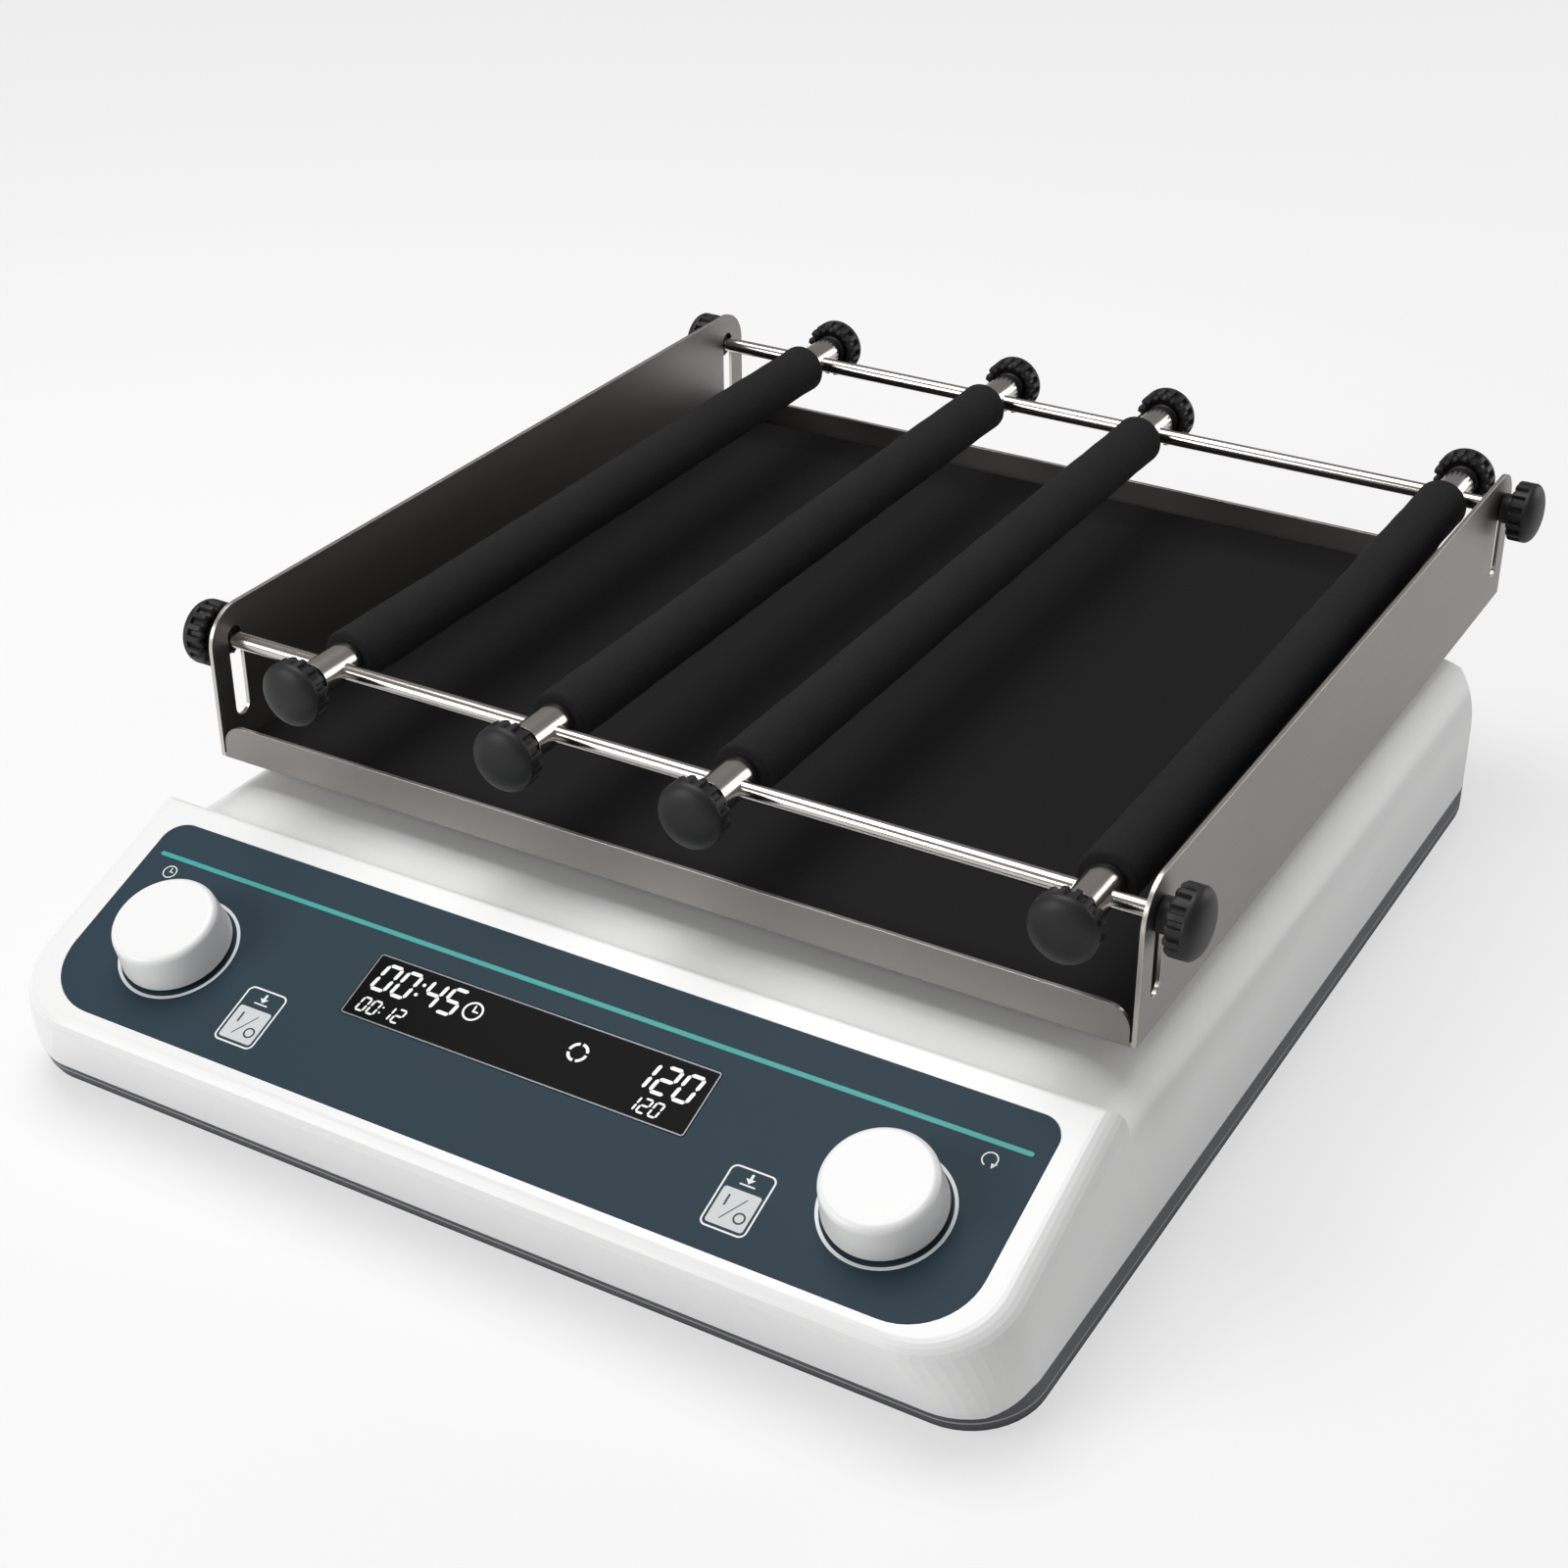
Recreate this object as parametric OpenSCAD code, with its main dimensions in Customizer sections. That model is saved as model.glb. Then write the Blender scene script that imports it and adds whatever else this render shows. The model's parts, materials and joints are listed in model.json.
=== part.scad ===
// Orbital shaker: a low housing with a sloped control wedge, a belt-driven crank inside, and a
// tray on top that circles without turning. Foam rollers slide on two rods to hold the vessels.
// Depths are measured back from the front line of the skirt and then centred by "placed".

/* [Base] */
// Width of the housing
body_w = 370; // [340:1:450]
// Depth from the front line of the skirt to the rear wall
body_d = 417; // [400:1:510]
// Height of the deck under the tray
deck_z = 65; // [65:1:90]
// Wall of the moulded housing
wall = 3; // [2:0.5:4]
// Rounding between the deck and the side walls
side_fillet = 30; // [10:1:34]
// Rounding between the deck and the rear wall
rear_fillet = 14; // [6:1:16]
// Plan rounding of the rear corners
corner_r = 20; // [10:1:30]
// Height of the rubber feet below the bottom plate
foot_h = 4; // [3:0.5:12]
// Radius of a foot
foot_r = 14; // [10:1:18]
// Thickness of the steel bottom plate
bottom_t = 2.2; // [1.5:0.1:3]
// Height of the dark skirt at the sides, above the bottom plate
skirt_h = 9.8; // [6:0.2:14]
// How much lower the housing hangs along its front
skirt_drop = 5; // [2:0.5:6]

/* [Control wedge] */
// Slope of the control panel in degrees
slope = 20; // [15:1:25]
// Height where the slope plane passes over the front skirt line
slope_z = 39.6; // [36:0.2:46]
// Distance of the ridge behind the front skirt line
ridge_y = 82; // [78:1:100]
// Rounding of the wedge's upper edges
wedge_fillet = 6; // [4:1:8]
// Plan rounding of the front corners at the skirt
wedge_corner = 24; // [14:1:36]
// Plan rounding of the front corners at the top of the wedge
wedge_top_corner = 30; // [20:1:36]
// How far the side walls lean in over the wedge
wedge_lean = 5; // [2:0.5:8]
// Rounding of the ridge between the slope and the deck
ridge_r = 2.5; // [1:0.5:3]

/* [Control panel] */
// Width of the dark panel overlay
panel_w = 336; // [300:1:340]
// Length of the overlay up the slope
panel_l = 78.2; // [74:0.2:80]
// Distance of the overlay from the front edge of the slope
panel_s = 8.5; // [8:0.5:12]
// Thickness of the overlay
panel_t = 0.8; // [0.5:0.1:1.2]
// Rounding of the lower panel corners
panel_corner = 22.5; // [14:0.5:28]
// Rounding of the upper panel corners
panel_top_corner = 8; // [4:1:14]
// Width of the display window
display_w = 128.2; // [110:0.2:150]
// Height of the display window up the slope
display_l = 24.8; // [20:0.2:30]
// Distance of the window from the lower edge of the overlay
display_s = 31.3; // [24:0.1:36]
// Distance of each dial from the middle
dial_x = 131.5; // [115:0.5:140]
// Distance of the dials from the lower edge of the overlay
dial_s = 32.8; // [28:0.1:40]
// Radius of a dial at its foot
dial_r = 18.8; // [14:0.1:22]
// Radius of a dial at its top
dial_top_r = 17.8; // [13:0.1:21]
// Height of a dial
dial_h = 14.1; // [10:0.1:20]
// Gap under a dial at rest
dial_gap = 1.4; // [1.2:0.1:2.5]
// Radius of an encoder shaft
encoder_r = 3; // [2.5:0.5:4]

/* [Drive] */
// Distance of the crank axis behind the front skirt line
drive_y = 274; // [270:1:300]
// Radius of the orbit
orbit_r = 5; // [3:0.5:7]
// Radius of the drive shaft
shaft_r = 7.5; // [6:0.5:8]
// Radius of the drive crank pin
pin_r = 6; // [5:0.5:7]
// Distance of the guide cranks to each side
guide_x = 118; // [105:1:130]
// Distance of the guide cranks in front of and behind the crank axis
guide_y = 100; // [90:1:115]
// Radius of a guide crank's shaft and pin
guide_r = 4; // [3:0.5:5]
// Distance of the motor beside the crank axis
motor_x = 92; // [88:1:100]
// Radius of the driven pulley
pulley_r = 44; // [38:1:48]
// Radius of the motor pulley
pinion_r = 11; // [9:0.5:14]

/* [Tray] */
// Outer width of the tray
tray_w = 348; // [320:1:420]
// Depth of the tray
tray_d = 350; // [330:1:430]
// Gap between the deck and the underside of the tray
tray_gap = 9.2; // [9:0.2:16]
// Sheet thickness of the tray
sheet_t = 1.5; // [1:0.1:2.5]
// Height of the side plates, from the underside of the tray
plate_h = 54.3; // [50:0.1:80]
// Height of the front and rear lips
lip_h = 13.1; // [10:0.1:20]
// Rounding of the side plates' top corners
plate_r = 14; // [6:1:18]
// Thickness of the rubber mat
mat_t = 2; // [1:0.5:4]
// Width of the slots in the side plates
slot_w = 7; // [6:0.2:8]
// Height of the slots' lower end above the underside of the tray
slot_low = 11.6; // [10:0.2:14]

/* [Clamp rollers] */
// Radius of the two clamp rods
rod_r = 3; // [3:0.5:4]
// Height of the rods above the underside of the tray
rod_h = 40.8; // [38:0.2:44]
// Distance of the rods inside the tray's ends
rod_inset = 11.8; // [10:0.2:16]
// Places of the rollers across the tray
roller_x1 = -129.5; // [-145:0.5:-110]
// Place of the second roller
roller_x2 = -43; // [-60:0.5:-30]
// Place of the third roller
roller_x3 = 27; // [15:0.5:40]
// Place of the fourth roller
roller_x4 = 153; // [120:0.5:155]
// Radius of the foam sleeves
foam_r = 10; // [8:0.5:13]
// Radius of the bar inside a sleeve
core_r = 5; // [4:0.5:6]
// Radius of a bar's end boss
boss_r = 6.5; // [6:0.5:8]
// Radius of a clamp knob
knob_r = 11.5; // [9:0.5:14]
// Length of a clamp knob's hub
hub_h = 4.5; // [3:0.5:6]
// Length of a clamp knob's ribbed rim
rim_h = 7.5; // [5:0.5:10]
// Height of a clamp knob's domed face
dome_h = 3; // [2:0.5:5]
// Number of ribs on a clamp knob
ribs = 16; // [12:1:20]
// Height of those ribs
rib_h = 0.5; // [0.3:0.1:0.8]
// Radius of a clamp knob's screw
screw_r = 2; // [1.5:0.25:2.25]

/* [Fits] */
// Radial clearance of a shaft or screw that turns in its bore
run_fit = 0.05; // [0.02:0.01:0.1]
// Gap between pieces that slide past each other
slide_gap = 0.3; // [0.2:0.05:0.5]
// Gap around pieces set into a cut-out
set_gap = 0.2; // [0.1:0.05:0.4]

/* [Hidden] */
$fn = 48;
eps = 0.01;
far = 700;

// Levels of the base above the table
plate_z = foot_h + bottom_t;
side_z = plate_z + skirt_h;
front_z = side_z - skirt_drop;
// Where the front lowering of the housing starts and ends its run up to the side level
ramp = [6, 18];
// The front face stands square to the slope, so their common edge lies ahead of the skirt line
face_l = (slope_z - front_z) * cos(slope);
edge_y = -face_l * sin(slope);
edge_z = front_z + face_l * cos(slope);
nose_y = edge_y + wedge_fillet * (cos(slope) + sin(slope) - 1);
// Levels of the tray, the rods and the ends of the rollers
tray_z = deck_z + tray_gap;
floor_z = tray_z + sheet_t;
rod_z = tray_z + rod_h;
tray_y = drive_y + orbit_r;
rod_ys = [tray_y - tray_d / 2 + rod_inset, tray_y + tray_d / 2 - rod_inset];
boss_out = 11;
boss_in = 8;
knob_h = hub_h + rim_h + dome_h;
tail_y = rod_ys[1] + boss_out + slide_gap + knob_h;
centre_y = (nose_y + tail_y) / 2;
roller_xs = [roller_x1, roller_x2, roller_x3, roller_x4];
// Screw bosses of the housing: distance to each side, then the depth and the top of each
boss_x = body_w / 2 - 27;
bosses = [[22, edge_z + (22 - 6 - edge_y) * tan(slope) - 1.2],
  [112, deck_z - wall + 0.3], [body_d - 18, deck_z - wall + 0.3]];
boss_post_r = 6;
boss_pilot_r = 1.6;
feet_y = [36, body_d - 42];
foot_x = body_w / 2 - 37;
spigot_r = 4;
// Panel hardware, as heights along the normal of the slope
lcd_w = display_w - 8;
lcd_l = display_l - 5;
window_t = 1.6;
board_n = -14.6;
board_t = 1.6;
encoder_top = -6.4;
bushing_r = encoder_r + 1.5;
push_travel = 0.8;
bushing_top = dial_gap - push_travel - 0.4;
dial_at = panel_s + dial_s;
display_at = panel_s + display_s + display_l / 2;
// Drive stack, upwards from the chassis
chassis_t = 4;
chassis_z = plate_z + 7.8;
chassis_w = 2 * (guide_x + 20);
chassis_y = [drive_y - guide_y - 24, drive_y + guide_y + 24];
chassis_top = chassis_z + chassis_t;
brg_r = 17.5;
brg_h = 11;
pin_brg_r = 14;
pin_brg_h = 8;
guide_brg_r = 11;
guide_brg_h = 7;
crank_top = deck_z - wall - 1;
crank_t = 4;
pulley_h = 11;
pulley_z = crank_top - crank_t - pulley_h;
housing_top = pulley_z - 1;
flange_t = 1.2;
belt_t = 1.5;
belt_gap = 0.35;
carriage_t = 3;
carriage_z = tray_z - carriage_t;
cup_wall = 5;
cup_low = crank_top + 1.3;
guide_wall = 3;
guide_disc_t = 6;
guide_disc_z = crank_top - 11;
disc_r = guide_r + orbit_r + 2;
carriage_w = 2 * (guide_x + guide_brg_r + guide_wall + 6);
carriage_d = 2 * (guide_y + guide_brg_r + guide_wall + 6);
tray_screw_at = [[-100, -85], [100, -85], [-100, 85], [100, 85], [0, -108], [0, 108]];
tray_screw_r = 2.5;
tray_head_r = 4.5;
tray_head_h = 2;
// Rear wall fittings
inlet_x = 110;
switch_x = 68;
fitting_z = (side_z + deck_z - rear_fillet) / 2 + 2;
inlet_size = [27, 19.6];
switch_size = [15, 23];
fitting_depth = 16;
bezel_t = 2;
rocker_tilt = 6;
rocker_y = body_d - 5;
rocker_pin_r = 1.5;

// Everything is drawn from the front skirt line, then centred over its own footprint
module placed() {
  translate([0, -centre_y, 0]) children();
}

// Extrusion of a depth-height outline across the full width between two sides
module across(x0, x1) {
  translate([x0, 0, 0]) rotate([90, 0, 90]) linear_extrude(x1 - x0) children();
}

// Extrusion of a width-height outline from front to back
module along(y0, y1) {
  translate([0, y1, 0]) rotate([90, 0, 0]) linear_extrude(y1 - y0) children();
}

// Frame of the control slope: x across, y up the slope, z out of it, from the front upper edge
module on_slope() {
  translate([0, edge_y, edge_z]) rotate([slope, 0, 0]) children();
}

// Rectangle from a to b with four round corners
module rounded(a, b, r) {
  translate([a.x + r, a.y]) square([b.x - a.x - 2 * r, b.y - a.y]);
  translate([a.x, a.y + r]) square([b.x - a.x, b.y - a.y - 2 * r]);
  for (x = [a.x + r, b.x - r], y = [a.y + r, b.y - r]) {
    translate([x, y]) circle(r);
  }
}

module tube(r_out, r_in, h) {
  difference() {
    cylinder(r = r_out, h = h);
    translate([0, 0, -1]) cylinder(r = r_in, h = h + 2);
  }
}

// Straight-walled form of the base, square to the slope in front and upright behind
module lower_form(inset) {
  half = body_w / 2 - inset;
  intersection() {
    on_slope() translate([0, 0, -far]) linear_extrude(2 * far) {
      rounded([-half, inset], [half, far], wedge_corner - inset);
    }
    linear_extrude(far) rounded([-half, -far], [half, body_d - inset], corner_r - inset);
  }
}

// Everything under the rounded ridge: the depth-height plane without the ridge's sharp corner
module ridge_round(inset) {
  r = ridge_r;
  y = ridge_y - inset;
  z = edge_z + (y - edge_y) * tan(slope) - inset / cos(slope);
  centre = [y - r, z - r * tan(slope) - r / cos(slope)];
  difference() {
    translate([-far, -far]) square(3 * far);
    difference() {
      polygon([centre, centre + [far, 0], centre + [far, far],
        centre + [-sin(slope), cos(slope)] * far]);
      translate(centre) circle(r);
    }
  }
}

// Side outline of the base, in depth and height: the wedge up to the ridge, then the deck
module side_outline(inset) {
  intersection() {
    translate([edge_y, edge_z]) rotate(slope) translate([inset, -far]) {
      square([far, far - inset]);
    }
    translate([-far, -far]) square([far + ridge_y - inset, 2 * far]);
    ridge_round(inset);
  }
  intersection() {
    rounded([-far, -far], [body_d - inset, deck_z - inset], rear_fillet - inset);
    translate([ridge_y - inset, -far]) square([far, 2 * far]);
  }
}

// What rounding an outer edge takes away, for an edge at the origin
module edge_cut(r) {
  difference() {
    translate([-r, -r]) square(far);
    translate([-r, -r]) circle(r);
  }
}

// Steps of the wedge's edge: depth below the slope, how far in it stands, and corner rounding
function wedge_steps(r) = [
  [-2, r + 12, wedge_top_corner - r],
  for (a = [0:15:90]) [r * (1 - cos(a)), r * (1 - sin(a)), wedge_top_corner - r * (1 - sin(a))],
  for (t = [0.25:0.25:1]) [r + t * (face_l - r), 0, wedge_top_corner
    + t * (wedge_corner - wedge_top_corner)]];

// Lean of the side walls at a depth below the slope
function lean_at(depth) = wedge_lean * pow(max(0, 1 - depth / face_l), 2);

// Form that rounds the wedge's upper edges; below its steps the walls lie just outside
module wedge_round(inset) {
  $fn = 48;
  half = body_w / 2 - inset + 0.2;
  hull() for (step = wedge_steps(wedge_fillet - inset / 2)) {
    side = half - step[1] - lean_at(step[0]);
    on_slope() translate([0, 0, -inset - step[0] - 0.01]) linear_extrude(0.01) {
      rounded([-side, inset - 0.2 + step[1]], [side, 2 * ridge_y], step[2] - inset);
    }
  }
}

module base_form(inset) {
  half = body_w / 2 - inset;
  foot = inset + face_l - 1;
  difference() {
    intersection() {
      lower_form(inset);
      across(-far, far) side_outline(inset);
    }
    for (side = [0, 1]) mirror([side, 0, 0]) {
      along(ridge_y - inset, far) translate([half, deck_z - inset]) {
        edge_cut(side_fillet - inset);
      }
    }
    difference() {
      intersection() {
        on_slope() translate([-far, -far, -foot]) cube([2 * far, 2 * far, far]);
        translate([-far, -far, 0]) cube([2 * far, far + ridge_y - inset, far]);
      }
      wedge_round(inset);
    }
  }
}

// Everything above the parting line between the housing and the skirt
module above_parting() {
  across(-far, far) polygon([[-far, front_z], [ramp[0], front_z], [ramp[1], side_z],
    [2 * far, side_z], [2 * far, far], [-far, far]]);
}

module below_parting() {
  across(-far, far) polygon([[-far, front_z], [ramp[0], front_z], [ramp[1], side_z],
    [2 * far, side_z], [2 * far, plate_z], [-far, plate_z]]);
}

// Outline of the panel overlay, in the slope frame
module panel_outline(grow) {
  half = panel_w / 2 + grow;
  low = panel_s - grow;
  high = panel_s + panel_l + grow;
  intersection() {
    rounded([-half, low], [half, far], panel_corner + grow);
    rounded([-half, -far], [half, high], panel_top_corner + grow);
  }
}

module display_outline(grow) {
  rounded([-display_w / 2 - grow, display_at - display_l / 2 - grow],
    [display_w / 2 + grow, display_at + display_l / 2 + grow], 1.2 + grow);
}

// Places of the four guide cranks
module at_guides() {
  for (x = [-guide_x, guide_x], y = [drive_y - guide_y, drive_y + guide_y]) {
    translate([x, y, 0]) children();
  }
}

module at_bosses() {
  for (x = [-boss_x, boss_x], b = bosses) {
    translate([x, b[0], 0]) children();
  }
}

module housing_shell() {
  color("whitesmoke") placed() difference() {
    union() {
      difference() {
        intersection() {
          base_form(0);
          above_parting();
        }
        base_form(wall);
      }
      for (x = [-boss_x, boss_x], b = bosses) {
        translate([x, b[0], plate_z]) cylinder(r = boss_post_r, h = b[1] - plate_z);
      }
    }
    at_bosses() translate([0, 0, plate_z - 1]) cylinder(r = boss_pilot_r, h = 22);
    on_slope() {
      translate([0, 0, -panel_t]) linear_extrude(wall) panel_outline(set_gap);
      translate([0, 0, -2 * wall]) linear_extrude(3 * wall) {
        rounded([-lcd_w / 2 - 1, display_at - lcd_l / 2 - 1],
          [lcd_w / 2 + 1, display_at + lcd_l / 2 + 1], 1);
      }
      translate([0, 0, -window_t]) linear_extrude(wall) display_outline(set_gap);
      for (x = [-dial_x, dial_x]) {
        translate([x, dial_at, -2 * wall]) cylinder(r = bushing_r + set_gap, h = 3 * wall);
      }
    }
    translate([0, drive_y, deck_z - 2 * wall]) {
      cylinder(r = pin_brg_r + cup_wall + orbit_r + 3, h = 3 * wall);
    }
    at_guides() translate([0, 0, deck_z - 2 * wall]) {
      cylinder(r = guide_brg_r + guide_wall + orbit_r + 3, h = 3 * wall);
    }
    rear_cutout(inlet_x, inlet_size);
    rear_cutout(switch_x, switch_size);
  }
}

module rear_cutout(x, size) {
  half = size / 2 + [set_gap, set_gap];
  along(body_d - 2 * wall, body_d + wall) rounded([x - half.x, fitting_z - half.y],
    [x + half.x, fitting_z + half.y], 1.5);
}

module skirt_frame() {
  color("#4a4f54") placed() intersection() {
    difference() {
      lower_form(0);
      lower_form(wall);
    }
    below_parting();
  }
}

module bottom_plate() {
  color("#3c4044") placed() difference() {
    intersection() {
      lower_form(0.5);
      translate([-far, -far, foot_h]) cube([2 * far, 3 * far, bottom_t]);
    }
    at_bosses() translate([0, 0, foot_h - 1]) cylinder(r = 2, h = 2 * bottom_t);
    for (x = [-foot_x, foot_x], y = feet_y) {
      translate([x, y, foot_h - 1]) cylinder(r = spigot_r + set_gap, h = 2 * bottom_t);
    }
  }
}

module rubber_feet() {
  color("#1c1c1c") placed() for (x = [-foot_x, foot_x], y = feet_y) {
    translate([x, y, 0]) {
      cylinder(r = foot_r, h = foot_h);
      cylinder(r = spigot_r, h = plate_z + 1.5);
    }
  }
}

module housing_screws() {
  color("silver") placed() at_bosses() {
    translate([0, 0, foot_h - 2]) cylinder(r = 3.2, h = 2);
    translate([0, 0, foot_h - 1]) cylinder(r = boss_pilot_r, h = 17);
  }
}

module control_panel() {
  color("#35434d") placed() on_slope() difference() {
    translate([0, 0, -panel_t]) linear_extrude(panel_t) panel_outline(0);
    translate([0, 0, -2 * panel_t]) linear_extrude(3 * panel_t) display_outline(set_gap);
    for (x = [-dial_x, dial_x]) {
      translate([x, dial_at, -2 * panel_t]) cylinder(r = bushing_r + set_gap, h = 3 * panel_t);
    }
  }
}

module display_window() {
  color("#16181a") placed() on_slope() {
    translate([0, 0, -window_t]) linear_extrude(window_t) display_outline(0);
  }
}

module display_module() {
  color("#3a4a40") placed() on_slope() {
    translate([-lcd_w / 2, display_at - lcd_l / 2, board_n + board_t]) {
      cube([lcd_w, lcd_l, -window_t - board_n - board_t]);
    }
  }
}

module control_board() {
  color("#1f6b3a") placed() on_slope() difference() {
    translate([-dial_x - 14, panel_s + 10, board_n]) {
      cube([2 * dial_x + 28, panel_l - 24, board_t]);
    }
    for (x = [-dial_x, dial_x], s = [-18, 18]) {
      translate([x, dial_at + s, board_n - 1]) cylinder(r = 1.6, h = 2 * board_t);
    }
  }
}

module encoders() {
  color("#8d9296") placed() on_slope() for (x = [-dial_x, dial_x]) {
    translate([x, dial_at, 0]) difference() {
      union() {
        translate([-6.5, -6.5, board_n + board_t]) {
          cube([13, 13, encoder_top - board_n - board_t]);
        }
        translate([0, 0, encoder_top]) cylinder(r = bushing_r, h = bushing_top - encoder_top);
      }
      translate([0, 0, board_n + board_t + 0.5]) cylinder(r = encoder_r + run_fit, h = far);
    }
  }
}

// Encoder shaft: pressed and turned with its dial
module encoder_shaft(x) {
  low = board_n + board_t + 0.7 + push_travel;
  color("silver") placed() on_slope() translate([x, dial_at, low]) {
    cylinder(r = encoder_r, h = dial_gap + dial_h - 4.3 - low);
  }
}

module time_shaft() {
  encoder_shaft(-dial_x);
}

module speed_shaft() {
  encoder_shaft(dial_x);
}

// Dial: a slightly tapered cap with a hub inside that fits the shaft
module dial(x) {
  cap = 3;
  skin = 2;
  color("white") placed() on_slope() translate([x, dial_at, dial_gap]) {
    difference() {
      rotate_extrude() polygon([[0, 0], [dial_r, 0], [dial_top_r, dial_h - 1.4],
        [dial_top_r - 0.5, dial_h - 0.5], [dial_top_r - 1.5, dial_h], [0, dial_h]]);
      translate([0, 0, -1]) cylinder(r = dial_top_r - skin, h = dial_h - cap + 1);
    }
    tube(encoder_r + 2.5, encoder_r + run_fit, dial_h - cap);
  }
}

module time_dial() {
  dial(-dial_x);
}

module speed_dial() {
  dial(dial_x);
}

// Folded sheet that carries the drive, standing on its two long flanges
module chassis_plate() {
  color("#b9bcbd") placed() {
    translate([-chassis_w / 2, chassis_y[0], chassis_z]) {
      cube([chassis_w, chassis_y[1] - chassis_y[0], chassis_t]);
    }
    for (x = [-chassis_w / 2, chassis_w / 2 - chassis_t]) {
      translate([x, chassis_y[0], plate_z]) {
        cube([chassis_t, chassis_y[1] - chassis_y[0], chassis_z - plate_z + eps]);
      }
    }
  }
}

module drive_bearing_housing() {
  color("#9a9ea1") placed() translate([0, drive_y, chassis_top]) difference() {
    union() {
      cylinder(r = brg_r + 15, h = 4);
      cylinder(r = brg_r + 4.5, h = housing_top - chassis_top);
    }
    translate([0, 0, 1]) cylinder(r = brg_r, h = far);
    for (a = [45:90:315]) {
      rotate(a) translate([brg_r + 10, 0, -1]) cylinder(r = 2.6, h = 6);
    }
  }
}

module guide_bearing_housings() {
  color("#9a9ea1") placed() at_guides() translate([0, 0, chassis_top]) difference() {
    union() {
      cylinder(r = guide_brg_r + 7, h = 3);
      cylinder(r = guide_brg_r + 2.5, h = guide_disc_z - 1 - chassis_top);
    }
    translate([0, 0, 6]) cylinder(r = guide_brg_r, h = far);
  }
}

// Base bearings: two on the drive shaft and two on each guide crank
module ball_bearings() {
  color("#c9ced2") placed() {
    for (z = [chassis_top + 3, housing_top - brg_h]) {
      translate([0, drive_y, z]) tube(brg_r, shaft_r + run_fit, brg_h);
    }
    at_guides() for (z = [chassis_top + 6, guide_disc_z - 1 - guide_brg_h]) {
      translate([0, 0, z]) tube(guide_brg_r, guide_r + run_fit, guide_brg_h);
    }
  }
}

module motor_stator() {
  color("#7a5230") placed() translate([motor_x, drive_y, chassis_top]) difference() {
    union() {
      cylinder(r = 30, h = 3);
      cylinder(r = 8, h = 24);
      translate([0, 0, 5]) cylinder(r = 25.5, h = 18);
    }
    translate([0, 0, 1]) cylinder(r = guide_r + run_fit, h = far);
  }
}

// Outer rotor, its shaft and the small belt pulley in one turning piece
module motor_rotor() {
  color("#55595c") placed() translate([motor_x, drive_y, chassis_top]) {
    difference() {
      translate([0, 0, 7]) cylinder(r = 29, h = 19);
      translate([0, 0, 6]) cylinder(r = 27, h = 18.5);
    }
    translate([0, 0, 1.5]) cylinder(r = guide_r, h = pulley_z - chassis_top + pulley_h);
    translate([0, 0, pulley_z - chassis_top]) belt_pulley(pinion_r, guide_r);
  }
}

module belt_pulley(r, bore) {
  difference() {
    union() {
      cylinder(r = r, h = pulley_h);
      for (z = [0, pulley_h - flange_t]) {
        translate([0, 0, z]) cylinder(r = r + 2.4, h = flange_t);
      }
    }
    translate([0, 0, -1]) cylinder(r = bore, h = pulley_h + 2);
  }
}

module drive_pulley() {
  color("#6b7074") placed() translate([0, drive_y, pulley_z]) difference() {
    belt_pulley(pulley_r, shaft_r);
    for (a = [30:60:330]) {
      rotate(a) translate([(shaft_r + pulley_r) / 2 + 2, 0, -1]) cylinder(r = 8, h = far);
    }
  }
}

module belt_loop(grow) {
  hull() {
    translate([0, drive_y]) circle(pulley_r + belt_gap + grow);
    translate([motor_x, drive_y]) circle(pinion_r + belt_gap + grow);
  }
}

module drive_belt() {
  color("#202020") placed() translate([0, 0, pulley_z + flange_t + 0.4]) {
    linear_extrude(pulley_h - 2 * flange_t - 0.8) difference() {
      belt_loop(belt_t);
      belt_loop(0);
    }
  }
}

// Shaft with a crank disc and the offset pin that moves the carriage
module drive_crank() {
  color("#a8adb0") placed() translate([0, drive_y, 0]) {
    translate([0, 0, chassis_top + 2]) {
      cylinder(r = shaft_r, h = crank_top - crank_t - chassis_top - 2);
    }
    translate([0, 0, crank_top - crank_t]) cylinder(r = pin_r + orbit_r + 6, h = crank_t);
    translate([0, orbit_r, crank_top]) {
      cylinder(r = pin_r, h = carriage_z - slide_gap - crank_top);
    }
  }
}

// Half ring on the far side of the pulley from the crank pin
module counterweight() {
  color("#8c7a4a") placed() translate([0, drive_y, crank_top - crank_t]) intersection() {
    tube(pulley_r - 3, pin_r + orbit_r + 6.5, crank_t - 0.2);
    translate([-far, -far - 4, -1]) cube([2 * far, far, far]);
  }
}

module guide_crank(x, y) {
  color("#a8adb0") placed() translate([x, drive_y + y, 0]) {
    translate([0, 0, chassis_top + 6.5]) {
      cylinder(r = guide_r, h = guide_disc_z - chassis_top - 6.5);
    }
    translate([0, 0, guide_disc_z]) cylinder(r = disc_r, h = guide_disc_t);
    translate([0, orbit_r, guide_disc_z]) {
      cylinder(r = guide_r, h = carriage_z - slide_gap - guide_disc_z);
    }
  }
}

module guide_crank_front_left() {
  guide_crank(-guide_x, -guide_y);
}

module guide_crank_front_right() {
  guide_crank(guide_x, -guide_y);
}

module guide_crank_rear_left() {
  guide_crank(-guide_x, guide_y);
}

module guide_crank_rear_right() {
  guide_crank(guide_x, guide_y);
}

module tray_screw_places() {
  for (p = tray_screw_at) {
    translate([p.x, tray_y + p.y, 0]) children();
  }
}

module screw_form(grow) {
  translate([0, 0, floor_z - tray_head_h]) {
    cylinder(r1 = tray_screw_r + grow, r2 = tray_head_r + grow, h = tray_head_h);
  }
  translate([0, 0, carriage_z - 1.5]) {
    cylinder(r = tray_screw_r + grow, h = floor_z - carriage_z);
  }
}

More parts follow.
